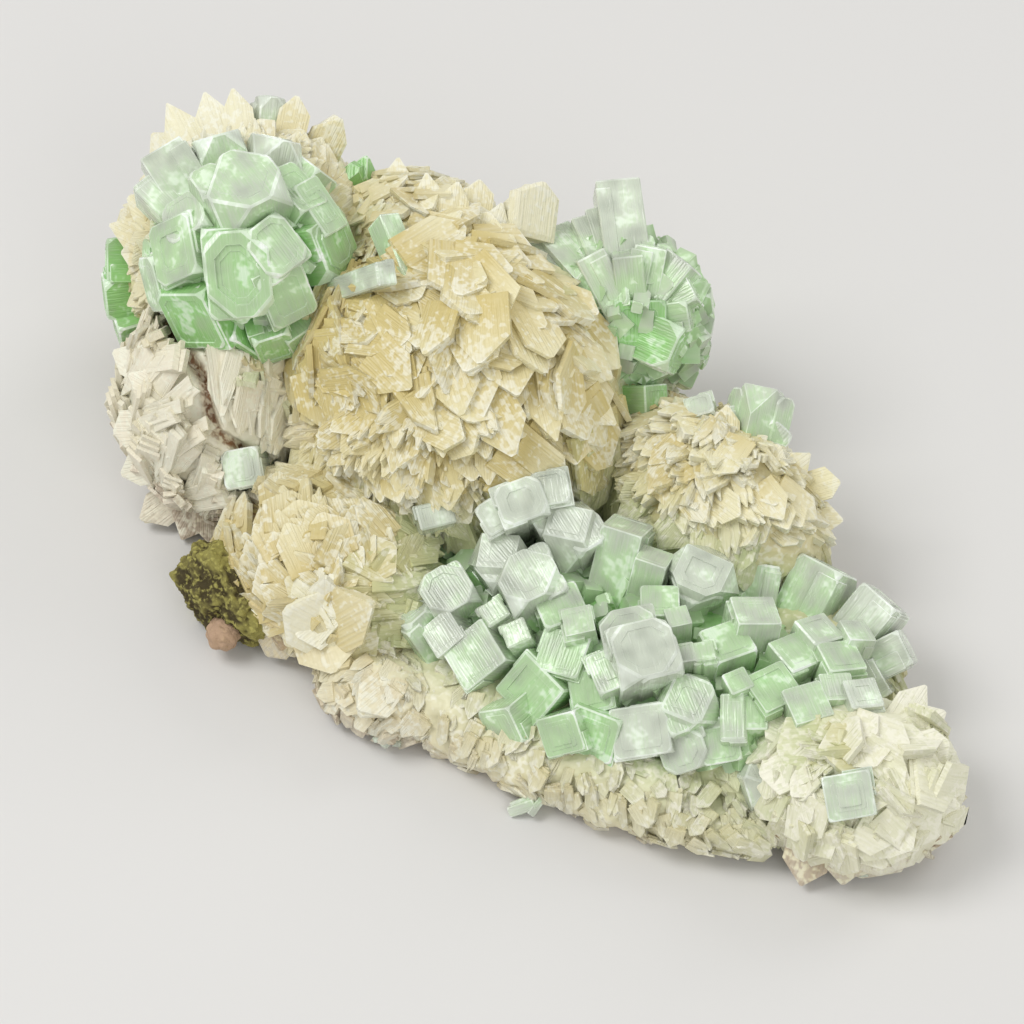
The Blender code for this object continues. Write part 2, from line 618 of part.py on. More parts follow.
def main():
    for old in list(bpy.data.objects):
        bpy.data.objects.remove(old, do_unlink=True)
    specimen = collection("apophyllite_on_stilbite")
    helpers = collection("cutters")

    below = ground(helpers)
    clusters = {name: cored(name, helpers) for name in CORED}
    solids = [solid for solid, _ in clusters.values()]
    small_recesses = list(basalt(GAP))
    for name, (dome, rows, neighbour) in LOOSE.items():
        solid = gathered(name, crystals_of(dome, rows), helpers)
        if neighbour:
            boolean(solid, clusters[neighbour][1], "DIFFERENCE")
        solids.append(solid)
        small_recesses += crystals_of(dome, rows, GAP)
    lump, knob = basalt()
    stone = gathered("basalt_lump", [lump], helpers)
    boolean(stone, gathered("basalt_knob", [knob], helpers), "UNION")

    crust = crust_body(helpers)
    boolean(crust, gathered("blades", picked_blades(), helpers), "UNION")
    for _, recess in clusters.values():
        boolean(crust, recess, "DIFFERENCE")
    boolean(crust, gathered("small_recesses", small_recesses, helpers), "DIFFERENCE")
    for solid in [crust, stone] + solids:
        boolean(solid, below, "DIFFERENCE")
        settled(solid)

    looks = {crust: STILBITE, stone: BASALT}
    for solid in [crust, stone] + solids:
        dressed(solid, looks.get(solid, APOPHYLLITE))
        handed_over(solid, specimen, helpers)
    helpers.hide_render = True
    for helper in helpers.objects:
        helper.hide_render = True
        helper.display_type = "WIRE"


main()
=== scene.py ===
"""The looks of a green apophyllite on stilbite specimen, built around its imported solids.

Lengths in the tables are in millimetres. A place is given as it is seen in the reference picture:
a pixel, the dome that it lies on, and how far it stands off that dome.
"""

import functools
import json
import math
import random

import bmesh
import bpy
from mathutils import Matrix, Vector, noise

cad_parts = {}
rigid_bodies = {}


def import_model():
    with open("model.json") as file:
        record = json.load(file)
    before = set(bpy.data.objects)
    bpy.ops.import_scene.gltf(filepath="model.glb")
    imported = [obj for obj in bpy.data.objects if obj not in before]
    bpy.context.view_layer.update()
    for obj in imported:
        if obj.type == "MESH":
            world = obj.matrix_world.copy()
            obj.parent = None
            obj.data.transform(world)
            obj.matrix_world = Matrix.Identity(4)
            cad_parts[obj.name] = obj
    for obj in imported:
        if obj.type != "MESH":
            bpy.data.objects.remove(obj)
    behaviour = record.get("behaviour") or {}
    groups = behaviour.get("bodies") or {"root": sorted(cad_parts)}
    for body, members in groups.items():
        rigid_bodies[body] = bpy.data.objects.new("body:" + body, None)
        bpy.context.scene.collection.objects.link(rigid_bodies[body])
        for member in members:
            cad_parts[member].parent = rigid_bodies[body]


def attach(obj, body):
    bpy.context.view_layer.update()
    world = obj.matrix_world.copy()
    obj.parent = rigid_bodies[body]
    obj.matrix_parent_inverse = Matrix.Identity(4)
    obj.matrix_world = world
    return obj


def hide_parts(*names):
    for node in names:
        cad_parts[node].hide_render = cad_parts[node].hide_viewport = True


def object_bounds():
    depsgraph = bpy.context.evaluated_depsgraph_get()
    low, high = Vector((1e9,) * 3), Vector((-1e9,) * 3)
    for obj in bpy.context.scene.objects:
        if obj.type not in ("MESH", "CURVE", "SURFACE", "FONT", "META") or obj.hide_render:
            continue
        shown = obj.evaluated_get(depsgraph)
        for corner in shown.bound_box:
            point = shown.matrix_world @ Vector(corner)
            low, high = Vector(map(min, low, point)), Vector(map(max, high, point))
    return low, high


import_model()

bl_info = {
    "name": "Apophyllite specimen",
    "version": (1, 0, 0),
    "blender": (4, 5, 0),
    "location": "3D View > Sidebar > Specimen",
    "description": "Grows the crystals, the crust and the stone of a mineral specimen",
    "category": "Add Mesh",
}

MM = 0.001
CAD_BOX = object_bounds()

# The reference picture's line of sight
PICTURE_SIDE = 1024
PICTURE_MM_PER_PIXEL = 0.14
PICTURE_AZIMUTH = math.radians(45)
PICTURE_ELEVATION = math.radians(50)
PICTURE_DISTANCE = 600.0
PICTURE_TARGET = Vector((0, 0, 20))
FILM_WIDTH = 36.0

# The part's origin, measured as the tables are
MIDDLE = Vector((-2.2, 4.49, 0))
CUT_CLEARANCE = 0.02

# The specimen's domes: centre, radii and turn about Z
DOMES = {
    "upper": ((-59, 5, 23), (18.5, 17.5, 22), 0),
    "wall": ((-47, -15.5, 14), (13.5, 10.5, 15.5), 0),
    "centre": ((-23, 10, 18), (26, 22, 25), 0),
    "ridge": ((-34, 18, 22.5), (19, 13, 20.5), -15),
    "foot": ((-17, -18, 8), (18, 13.5, 12.5), 5),
    "right": ((16, 24, 12), (18, 12, 15.5), 0),
    "bed": ((29, 4, 5), (36, 18.5, 9.5), 12),
    "shoulder": ((43, 18, 6), (15, 9.5, 9.5), -20),
    "bottom": ((22, -17.5, 4.5), (37, 8.5, 6.5), 16),
    "lip": ((2, -26.8, 4.5), (10.5, 6.5, 6.5), 20),
    "end": ((58, 6.5, 8), (15, 12.5, 10.5), 10),
    "back": ((-11, 29, 10), (15.5, 8.5, 12.5), 0),
    "heart": ((-20, 4, 3), (44, 19, 8), 0),
    "ball": ((-52.2, -0.8, 33.2), (13.2, 13.2, 13.2), 0),
    "fan": ((-12, 36, 24), (11.5, 10.5, 11.5), 0),
    "druse": ((24.5, 1.5, 8.8), (34.5, 14.5, 8.1), 13),
}
CLUSTER_DOMES = ("ball", "fan", "druse")
CRUST_DOMES = [name for name in DOMES if name not in CLUSTER_DOMES]

# Angle between an apophyllite's long axis and the normal of a pyramid face
PYRAMID_TILT = math.radians(60.4)
CRYSTAL_SINK = 3.5

# Apophyllite crystals: tip, root or None for straight out, side, depth, stand, turn, corner cut, green
BALL = (
    ((240, 178), None, 11.0, 10.5, 5.5, 32, 0.42, 0.25),
    ((276, 138), None, 7.5, 7.5, 3.5, 25, 0.40, 0.0),
    ((160, 152), (200, 215), 6.6, 6.0, 5.6, 5, 0.0, 0.05),
    ((150, 184), (196, 230), 6.0, 6.0, 4.4, 0, 0.0, 0.10),
    ((238, 275), None, 9.2, 12.5, 3.0, 5, 0.38, 0.60),
    ((276, 246), None, 7.0, 8.0, 3.4, 38, 0.25, 0.35),
    ((190, 322), None, 9.0, 9.5, 2.4, 25, 0.12, 0.80),
    ((276, 350), None, 5.6, 6.5, 3.0, 10, 0.15, 0.70),
    ((308, 342), None, 5.4, 6.0, 3.2, 14, 0.10, 0.60),
    ((337, 322), None, 6.2, 7.0, 3.6, 30, 0.15, 0.80),
    ((338, 245), None, 8.5, 8.5, 2.6, 35, 0.20, 0.70),
    ((322, 205), None, 6.0, 8.5, 3.0, 48, 0.10, 0.45),
    ((298, 186), None, 6.0, 8.0, 2.8, 48, 0.12, 0.45),
    ((318, 168), None, 5.5, 5.5, 2.8, 50, 0.10, 0.30),
    ((172, 250), None, 8.0, 9.0, 2.6, 15, 0.15, 0.45),
    ((150, 285), None, 6.0, 8.0, 2.4, 30, 0.20, 0.35),
    ((182, 215), None, 7.0, 7.0, 2.4, 15, 0.20, 0.20),
    ((215, 135), None, 7.0, 7.0, 2.8, 10, 0.30, 0.20),
    ((288, 296), None, 7.0, 8.5, 2.8, 20, 0.15, 0.50),
    ((232, 354), None, 6.5, 6.5, 2.4, 40, 0.10, 0.90),
)
FAN = (
    ((616, 187), (632, 300), 6.4, 6.2, 4.6, 3, 0.0, 0.0),
    ((588, 254), (620, 316), 4.4, 8.0, 1.8, 4, 0.0, 0.20),
    ((584, 226), (618, 300), 4.6, 6.0, 2.0, 4, 0.0, 0.10),
    ((627, 252), (634, 316), 4.4, 6.0, 1.8, 0, 0.0, 0.30),
    ((652, 246), (640, 310), 4.6, 6.0, 1.8, -4, 0.08, 0.25),
    ((685, 262), (648, 310), 4.8, 7.0, 1.8, -20, 0.12, 0.25),
    ((694, 288), (650, 312), 5.0, 6.0, 1.4, -30, 0.12, 0.30),
    ((692, 312), (645, 318), 4.6, 5.5, 1.2, -50, 0.15, 0.40),
    ((680, 352), (630, 330), 7.0, 7.0, 1.6, 35, 0.20, 0.70),
    ((548, 242), (600, 300), 6.0, 6.5, 2.4, 12, 0.05, 0.10),
    ((526, 240), (590, 300), 5.0, 5.5, 2.6, 20, 0.05, 0.05),
    ((570, 285), (615, 320), 6.0, 6.0, 1.0, 15, 0.10, 0.40),
    ((608, 285), None, 5.5, 6.5, 0.8, 5, 0.10, 0.60),
    ((640, 325), None, 7.5, 7.0, 0.6, 0, 0.10, 1.00),
    ((600, 215), (626, 300), 4.6, 5.0, 2.6, 0, 0.05, 0.05),
)
DRUSE = (
    ((569, 524), (578, 560), 8.0, 8.0, 8.5, 30, 0.50, 0.0),
    ((496, 549), (510, 580), 7.4, 7.4, 6.8, 35, 0.45, 0.05),
    ((527, 574), (536, 608), 8.4, 8.0, 6.6, 25, 0.42, 0.10),
    ((628, 525), (610, 600), 6.0, 6.4, 7.4, -18, 0.06, 0.20),
    ((655, 556), (640, 615), 4.6, 4.6, 6.0, -18, 0.06, 0.25),
    ((703, 568), (696, 600), 8.4, 8.0, 6.8, 20, 0.50, 0.05),
    ((446, 588), (458, 618), 7.0, 7.0, 7.0, 30, 0.32, 0.20),
    ((410, 612), (440, 656), 5.0, 5.0, 8.5, 35, 0.25, 0.20),
    ((473, 655), None, 7.6, 7.2, 6.4, 34, 0.05, 0.25),
    ((442, 633), None, 5.2, 5.0, 7.4, 34, 0.05, 0.05),
    ((529, 690), None, 8.0, 7.2, 4.8, -42, 0.0, 0.55),
    ((493, 611), None, 3.6, 3.6, 5.4, 30, 0.0, 0.20),
    ((515, 632), None, 3.6, 3.6, 5.6, 20, 0.0, 0.20),
    ((578, 620), None, 4.2, 4.2, 5.4, 10, 0.05, 0.25),
    ((592, 735), None, 7.2, 6.6, 5.2, -15, 0.08, 0.60),
    ((645, 648), (640, 676), 8.6, 8.2, 7.6, 15, 0.30, 0.0),
    ((612, 668), None, 6.0, 6.0, 4.6, 20, 0.10, 0.25),
    ((628, 629), None, 7.6, 7.0, 5.4, 10, 0.30, 0.15),
    ((640, 731), None, 8.2, 7.0, 4.4, 8, 0.08, 0.05),
    ((688, 699), None, 7.6, 7.4, 4.4, 20, 0.40, 0.25),
    ((682, 750), None, 6.6, 6.2, 3.2, 20, 0.32, 0.15),
    ((446, 706), (474, 700), 6.2, 5.8, 6.0, 28, 0.05, 0.40),
    ((756, 610), (745, 660), 6.2, 6.0, 5.8, 10, 0.05, 0.20),
    ((760, 560), (750, 616), 6.0, 5.6, 6.6, -5, 0.0, 0.15),
    ((830, 566), (802, 622), 7.4, 7.0, 6.8, -32, 0.14, 0.20),
    ((886, 598), (850, 642), 6.4, 6.2, 6.4, -30, 0.10, 0.0),
    ((908, 646), (864, 668), 5.2, 5.2, 5.4, -30, 0.14, 0.05),
    ((884, 674), (856, 690), 5.6, 5.4, 6.0, -20, 0.10, 0.05),
    ((820, 628), None, 5.4, 5.2, 6.4, 34, 0.0, 0.20),
    ((798, 650), None, 6.2, 6.0, 4.4, 34, 0.0, 0.35),
    ((858, 630), None, 4.2, 4.2, 8.6, 20, 0.05, 0.20),
    ((774, 686), None, 6.2, 6.2, 4.6, 30, 0.05, 0.55),
    ((808, 702), None, 5.6, 5.6, 6.4, 20, 0.05, 0.30),
    ((733, 716), None, 3.4, 6.6, 3.8, 0, 0.0, 0.25),
    ((756, 712), None, 3.2, 5.0, 3.4, 0, 0.0, 0.40),
    ((838, 686), None, 4.6, 4.4, 6.6, 10, 0.05, 0.25),
    ((864, 692), None, 4.8, 4.8, 8.4, 15, 0.0, 0.10),
    ((684, 652), None, 3.0, 3.0, 5.4, 10, 0.0, 0.30),
    ((704, 650), None, 3.0, 3.0, 5.4, 10, 0.0, 0.30),
    ((738, 680), None, 3.4, 3.4, 4.6, 25, 0.0, 0.40),
    ((678, 616), None, 3.2, 3.2, 5.4, 15, 0.05, 0.25),
    ((560, 604), None, 6.4, 6.0, 4.2, 20, 0.10, 0.40),
    ((562, 652), None, 6.6, 6.4, 3.8, -20, 0.08, 0.50),
    ((590, 690), None, 6.0, 6.0, 3.2, 10, 0.10, 0.55),
    ((728, 640), None, 6.4, 6.0, 4.0, 25, 0.08, 0.45),
    ((660, 600), None, 5.4, 5.4, 4.6, 0, 0.08, 0.40),
    ((560, 735), None, 6.2, 5.6, 7.5, 20, 0.08, 0.50),
    ((500, 728), None, 6.0, 5.6, 9.0, 30, 0.08, 0.40),
    ((720, 745), None, 5.4, 5.0, 2.4, 10, 0.10, 0.35),
    ((842, 655), None, 5.8, 5.4, 6.8, 20, 0.08, 0.35),
)
# Crystals outside the clusters, by the node that each piece stands for: dome and crystals
LOOSE = {
    "apophyllite_valley": ("centre", (
        ((521, 500), (530, 540), 6.8, 6.0, 5.2, 20, 0.20, 0.0),
        ((550, 487), (552, 530), 5.2, 5.0, 4.8, 10, 0.15, 0.0),
        ((496, 514), (510, 546), 4.8, 4.8, 4.4, 30, 0.15, 0.0),
    )),
    "apophyllite_edge": ("upper", (
        ((106, 262), (150, 262), 5.4, 6.4, 2.2, 10, 0.20, 0.90),
        ((104, 296), (150, 290), 5.6, 6.4, 2.0, 20, 0.20, 0.90),
        ((116, 330), (156, 318), 5.0, 5.6, 1.8, 10, 0.15, 0.70),
    )),
    "apophyllite_spur": ("right", (
        ((764, 388), (752, 440), 6.6, 6.6, 3.6, 30, 0.45, 0.15),
        ((780, 424), (756, 450), 4.6, 4.6, 2.6, 20, 0.20, 0.10),
        ((738, 408), (745, 440), 4.4, 4.0, 2.0, 10, 0.15, 0.05),
    )),
    "apophyllite_saddle": ("back", (((657, 402), (605, 402), 4.8, 5.0, 3.6, 4, 0.0, 0.70),)),
    "apophyllite_spur_small": ("right", (((699, 404), (706, 430), 3.8, 3.8, 1.8, 10, 0.20, 0.10),)),
    "apophyllite_crown": ("upper", (((271, 97), (268, 130), 4.2, 4.2, 2.8, 20, 0.35, 0.0),)),
    "apophyllite_point": ("upper", (((366, 155), (352, 196), 5.4, 5.4, 4.6, 20, 0.95, 0.90),)),
    "apophyllite_leaning": ("centre", (((383, 220), (422, 316), 3.4, 4.0, 4.0, 30, 0.0, 0.30),)),
    "apophyllite_prism": ("centre", (((387, 273), (296, 306), 3.0, 3.4, 5.6, 10, 0.0, 0.05),)),
    "apophyllite_wall": ("wall", (((241, 468), (262, 470), 5.6, 5.6, 1.6, 10, 0.15, 0.10),)),
    "apophyllite_pale": ("centre", (((436, 514), (425, 540), 5.2, 3.6, 2.6, 15, 0.0, 0.0),)),
    "apophyllite_rounded": ("bed", (((763, 766), (762, 790), 6.4, 6.4, 3.2, 25, 0.55, 0.0),)),
    "apophyllite_end": ("end", (((849, 796), None, 6.6, 6.2, 2.2, 10, 0.08, 0.15),)),
}
# Splinters of clear crystal under the front rim: dome and crystals
SPLINTERS = (
    ("lip", (
        ((377, 741), (386, 728), 1.6, 1.0, 0.3, 20, 0.0, 0.0),
        ((386, 745), (392, 730), 2.0, 1.2, 0.5, 55, 0.0, 0.0),
        ((396, 746), (400, 732), 1.4, 0.9, 0.4, 5, 0.0, 0.0),
    )),
    ("bottom", (
        ((509, 812), (535, 803), 1.5, 0.9, 0.3, 30, 0.3, 0.0),
        ((529, 813), (543, 793), 2.1, 1.1, 0.5, 75, 0.2, 0.0),
    )),
    ("end", (
        ((864, 877), (862, 858), 1.4, 0.9, 0.6, 20, 0.0, 0.0),
        ((882, 874), (876, 856), 1.2, 0.8, 0.4, 50, 0.0, 0.0),
    )),
)

# Stilbite blades seen one by one: dome, tip, root, width, thickness, stand
BLADES = (
    ("centre", (516, 455), (478, 385), 7.0, 2.0, 2.6),
    ("centre", (552, 443), (530, 368), 5.6, 2.0, 2.6),
    ("centre", (577, 466), (562, 420), 4.4, 1.6, 2.4),
    ("centre", (614, 425), (572, 388), 5.0, 1.6, 2.6),
    ("centre", (644, 351), (590, 345), 5.4, 1.8, 3.2),
    ("centre", (622, 332), (572, 325), 4.2, 1.6, 2.6),
    ("centre", (598, 314), (535, 292), 5.0, 1.8, 2.6),
    ("centre", (606, 461), (580, 430), 4.0, 1.6, 1.6),
    ("centre", (322, 549), (334, 480), 3.6, 1.6, 2.4),
    ("centre", (349, 521), (380, 466), 3.6, 1.6, 2.4),
    ("centre", (409, 552), (372, 518), 4.0, 1.8, 2.6),
    ("centre", (402, 505), (398, 470), 4.4, 1.8, 2.8),
    ("centre", (463, 318), (505, 314), 3.6, 1.6, 2.4),
    ("foot", (285, 604), (340, 632), 9.0, 2.6, 3.0),
    ("foot", (400, 668), (340, 640), 9.0, 2.6, 2.4),
    ("foot", (374, 600), (312, 628), 9.4, 2.2, 5.2),
    ("foot", (340, 672), (328, 620), 10.0, 2.2, 3.4),
    ("foot", (298, 640), (330, 612), 6.0, 2.0, 2.6),
    ("foot", (330, 575), (330, 615), 6.0, 2.0, 2.4),
    ("right", (807, 456), (770, 480), 4.4, 1.6, 2.2),
    ("right", (840, 480), (795, 495), 4.6, 1.6, 2.4),
    ("right", (842, 520), (800, 515), 4.6, 1.6, 2.2),
    ("right", (779, 447), (755, 475), 4.0, 1.6, 1.8),
    ("right", (724, 408), (722, 450), 4.2, 1.6, 1.8),
    ("right", (650, 497), (682, 442), 3.2, 1.4, 2.2),
    ("right", (667, 462), (690, 440), 3.4, 1.4, 2.4),
    ("right", (712, 470), (720, 435), 3.6, 1.6, 2.6),
    ("right", (744, 470), (742, 435), 3.6, 1.6, 2.6),
    ("ridge", (397, 162), (400, 215), 4.6, 1.8, 2.2),
    ("ridge", (426, 176), (428, 230), 4.4, 1.8, 1.8),
    ("ridge", (455, 184), (450, 235), 4.6, 1.8, 2.2),
    ("ridge", (478, 183), (470, 235), 4.4, 1.8, 2.6),
    ("ridge", (499, 206), (480, 255), 4.6, 1.8, 2.2),
    ("ridge", (530, 182), (524, 240), 7.6, 5.0, 4.4),
    ("ridge", (560, 258), (515, 290), 5.0, 1.8, 2.2),
    ("upper", (172, 106), (200, 160), 5.0, 2.0, 2.6),
    ("upper", (204, 97), (220, 150), 4.6, 1.8, 2.2),
    ("upper", (233, 93), (240, 150), 4.6, 1.8, 2.4),
    ("upper", (298, 99), (286, 150), 4.6, 1.8, 2.4),
    ("upper", (338, 116), (316, 165), 5.6, 3.0, 2.8),
    ("upper", (156, 137), (190, 190), 4.6, 1.8, 2.4),
    ("upper", (132, 197), (175, 230), 4.6, 1.8, 2.0),
    ("upper", (114, 226), (160, 250), 4.6, 1.8, 2.4),
    ("wall", (119, 352), (165, 380), 5.0, 2.0, 1.6),
    ("wall", (131, 376), (170, 400), 4.6, 2.0, 1.2),
    ("wall", (118, 430), (165, 430), 5.6, 2.2, 1.8),
    ("wall", (126, 470), (170, 460), 5.0, 2.2, 1.6),
    ("wall", (142, 520), (180, 490), 5.6, 2.2, 2.0),
    ("wall", (180, 541), (200, 500), 5.6, 2.2, 2.2),
    ("wall", (213, 545), (215, 500), 5.6, 2.2, 1.8),
    ("end", (964, 788), (915, 775), 6.0, 2.0, 2.4),
    ("end", (958, 806), (905, 790), 5.0, 2.0, 2.2),
    ("end", (948, 744), (905, 755), 5.4, 2.0, 2.2),
    ("end", (940, 713), (900, 740), 5.0, 2.0, 2.4),
    ("end", (921, 688), (890, 730), 4.6, 2.0, 2.0),
    ("end", (912, 850), (880, 815), 5.4, 2.0, 2.2),
    ("end", (882, 868), (865, 825), 5.4, 2.0, 2.0),
    ("end", (846, 880), (842, 835), 5.6, 2.0, 2.2),
    ("end", (798, 882), (812, 835), 6.4, 2.4, 2.6),
    ("lip", (358, 714), (390, 684), 6.0, 2.6, 2.0),
    ("foot", (326, 684), (350, 650), 6.0, 2.6, 2.0),
    ("foot", (270, 650), (300, 620), 5.4, 2.4, 1.2),
)
# Sprays: dome, the window of the picture that they fill, origin pixel that the blades point away from, spacing,
# widths, lengths, thickness, lean from the dome's normal, how far tips stand off it, share that stands up,
# share of bundled laths. A dome's later sprays keep out of the windows of its earlier ones.
SPRAYS = (
    ("centre", (180, 150, 425, 425), (300, 200), 2.3, (4.0, 7.5), (7.0, 10.0), 1.3, (76, 85), (-0.6, 0.3), 0.02, 0.15),
    ("centre", (180, 425, 505, 620), (420, 360), 2.0, (3.6, 5.8), (6.5, 9.5), 1.9, (42, 66), (0.0, 2.2), 0.12, 0.45),
    ("centre", None, (430, 250), 3.0, (5.4, 10.0), (8.0, 11.5), 2.0, (58, 76), (-0.4, 2.0), 0.10, 0.1),
    ("ridge", (340, 120, 450, 290), (320, 260), 2.3, (3.4, 5.6), (6.0, 8.0), 1.4, (68, 80), (-0.4, 0.9), 0.05, 0.2),
    ("ridge", None, (400, 330), 2.3, (3.4, 6.0), (6.0, 8.0), 1.5, (60, 77), (-0.3, 1.4), 0.08, 0.15),
    ("right", None, (745, 420), 2.0, (3.2, 5.2), (5.5, 8.0), 1.4, (46, 70), (-0.3, 1.8), 0.15, 0.3),
    ("foot", None, (322, 612), 2.2, (3.6, 7.0), (6.0, 8.0), 1.4, (62, 80), (-0.4, 1.0), 0.04, 0.2),
    ("upper", None, (250, 250), 2.2, (2.6, 4.8), (5.0, 7.0), 1.3, (40, 70), (-0.2, 1.6), 0.10, 0.3),
    ("wall", None, (320, 300), 1.7, (2.2, 4.2), (8.0, 13.0), 1.4, (74, 85), (-0.5, 0.6), 0.0, 0.3),
    ("back", None, None, 2.4, (3.4, 5.6), (6.0, 8.0), 1.4, (55, 75), (-0.3, 1.5), 0.15, 0.2),
    ("shoulder", None, (800, 620), 2.3, (3.0, 5.0), (5.0, 7.0), 1.3, (50, 72), (-0.3, 1.4), 0.15, 0.2),
    ("bed", None, (640, 640), 2.3, (2.2, 4.2), (3.5, 6.0), 1.2, (62, 80), (-0.6, 0.8), 0.0, 0.2),
    ("bottom", None, (600, 560), 1.9, (1.2, 2.8), (2.4, 4.4), 0.8, (72, 88), (-0.9, 0.1), 0.02, 0.15),
    ("lip", None, (430, 600), 1.8, (1.3, 3.2), (2.6, 4.6), 0.9, (70, 86), (-0.9, 0.2), 0.02, 0.15),
    ("end", None, (830, 740), 2.5, (4.8, 9.0), (5.0, 8.0), 1.5, (56, 76), (-0.4, 1.4), 0.03, 0.1),
    ("heart", None, None, 2.8, (3.4, 5.0), (5.0, 7.0), 1.4, (60, 80), (-0.5, 1.0), 0.1, 0.2),
)
# Windows of the picture that show apophyllite alone, and the dome behind each: no blade ends in front of it
CLEARED = (
    ("druse", (745, 540, 915, 690)), ("druse", (735, 640, 850, 716)), ("druse", (846, 684, 918, 724)),
    ("end", (825, 775, 878, 820)), ("centre", (372, 214, 412, 290)), ("centre", (325, 262, 395, 305)),
)
CLEARED_DEPTH = 4.0
# How golden and how pink the stilbite is on each dome
WARMTH = {
    "centre": (0.60, 0.0), "ridge": (0.06, 0.05), "right": (0.16, 0.0), "foot": (0.58, 0.1), "upper": (0.20, 0.05),
    "wall": (-0.28, 0.8), "back": (0.35, 0.1), "shoulder": (0.30, 0.1), "bed": (0.30, 0.1), "bottom": (0.05, 0.15),
    "lip": (0.02, 0.35), "end": (-0.32, 0.05), "heart": (0.20, 0.6),
}
# Pools of gold, or of white where the strength is below 0: dome, middle, reach in millimetres, strength
POOLS = (
    ("centre", (345, 375), 15.0, 0.55), ("centre", (440, 480), 5.0, 0.4), ("centre", (400, 270), 10.0, 0.1),
    ("centre", (360, 535), 5.0, 0.5), ("right", (660, 490), 6.0, 0.6), ("end", (812, 745), 8.0, 0.6),
    ("centre", (590, 480), 5.0, 0.55), ("foot", (325, 612), 9.0, -1.1), ("foot", (350, 655), 6.0, 0.5),
    ("centre", (330, 235), 6.0, 0.3), ("centre", (600, 400), 9.0, -0.2), ("ridge", (530, 200), 8.0, -0.8),
    ("upper", (200, 110), 14.0, -0.3),
)
# The long crack that crosses the broken side
CRACK = ("wall", ((162, 318), (186, 352), (204, 378), (208, 412), (216, 434), (246, 452), (258, 486), (262, 520)))
CRACK_WIDTH = 1.1
CRACK_DEPTH = 2.4
CRACK_REACH = 14.0
MOSS_REACH = {"ball": 0.35, "fan": 0.3, "druse": 1.15}
RUST_HEIGHT = 3.2
BLADE_PIECES = ("stilbite_blades_high", "stilbite_blades_middle", "stilbite_blades_low")
BLADE_KINDS = 8
LATH_KINDS = 5
GRAIN_KINDS = 5

BASALT_CENTRE = (-26, -30.5, 6)
BASALT_RADII = (9.2, 6.0, 7.2)
BASALT_KNOB = ((-22.5, -35.2, 4.0), 2.6)

ACROSS = Vector((math.cos(PICTURE_AZIMUTH), math.sin(PICTURE_AZIMUTH), 0))
TOWARDS_VIEWER = Vector((
    math.sin(PICTURE_AZIMUTH) * math.cos(PICTURE_ELEVATION),
    -math.cos(PICTURE_AZIMUTH) * math.cos(PICTURE_ELEVATION),
    math.sin(PICTURE_ELEVATION),
))
UPWARDS = TOWARDS_VIEWER.cross(ACROSS)
EYE = PICTURE_TARGET + TOWARDS_VIEWER * PICTURE_DISTANCE


def sight_line(pixel):
    """Unit vector from the eye through a pixel of the reference picture."""
    half = PICTURE_SIDE / 2
    reach = PICTURE_DISTANCE / PICTURE_MM_PER_PIXEL
    return (ACROSS * (pixel[0] - half) + UPWARDS * (half - pixel[1]) - TOWARDS_VIEWER * reach).normalized()


def pixel_of(point):
    """Where the reference picture shows a point."""
    way = point - EYE
    reach = PICTURE_DISTANCE / PICTURE_MM_PER_PIXEL / -way.dot(TOWARDS_VIEWER)
    return PICTURE_SIDE / 2 + way.dot(ACROSS) * reach, PICTURE_SIDE / 2 - way.dot(UPWARDS) * reach


def in_window(pixel, window):
    """Whether a pixel lies in a window of the reference picture."""
    left, top, right, bottom = window
    return left <= pixel[0] <= right and top <= pixel[1] <= bottom


@functools.lru_cache(maxsize=None)
def dome_frame(name, above=0.0):
    """The matrix that takes a unit sphere to a dome, standing `above` off it."""
    centre, radii, turn = DOMES[name]
    swell = Matrix.Diagonal([radius + above for radius in radii]).to_4x4()
    return Matrix.Translation(centre) @ Matrix.Rotation(math.radians(turn), 4, "Z") @ swell


@functools.lru_cache(maxsize=None)
def to_sphere(name, above=0.0):
    """The matrix that takes a dome to a unit sphere."""
    return dome_frame(name, above).inverted()


def seen(name, pixel, above=0.0):
    """Where a sight line meets a dome, or passes nearest to it."""
    inwards = to_sphere(name, above)
    line = sight_line(pixel)
    start = inwards @ EYE
    along = inwards.to_3x3() @ line
    reach = -start.dot(along) / along.length_squared
    miss = (start + along * reach).length_squared
    if miss < 1:
        reach -= math.sqrt((1 - miss) / along.length_squared)
    return EYE + line * reach


def covers_crystals(point, pixel):
    """Whether a blade at a point would stand where the picture shows apophyllite alone."""
    for dome, window in CLEARED:
        if in_window(pixel, window) and (point - seen(dome, pixel)).dot(TOWARDS_VIEWER) > -CLEARED_DEPTH:
            return True
    return False


def outward(name, point):
    """Unit normal of a dome at a point near its surface."""
    inwards = to_sphere(name)
    return (inwards.to_3x3().transposed() @ (inwards @ point)).normalized()


def inside_depth(name, point):
    """How deep a point lies in a dome: 1 at its centre, 0 at its surface, negative outside."""
    return 1 - (to_sphere(name) @ point).length


def around(dome, spacing, above, seed):
    """Points spread over a dome about `spacing` apart, with their normals and a seeded source of chance."""
    chance = random.Random(seed)
    radii = DOMES[dome][1]
    area = 4 * math.pi * (radii[0] * radii[1] + radii[1] * radii[2] + radii[2] * radii[0]) / 3
    count = int(area / spacing ** 2)
    for step in range(count):
        height = 1 - 2 * (step + chance.random()) / count
        turn = step * math.radians(137.5) + chance.uniform(-0.3, 0.3)
        flat = math.sqrt(max(0.0, 1 - height * height))
        point = dome_frame(dome, above) @ Vector((flat * math.cos(turn), flat * math.sin(turn), height))
        yield point, outward(dome, point), chance


def to_part(point):
    """From the tables' millimetres to the part's frame, in metres."""
    return (point - MIDDLE) * MM


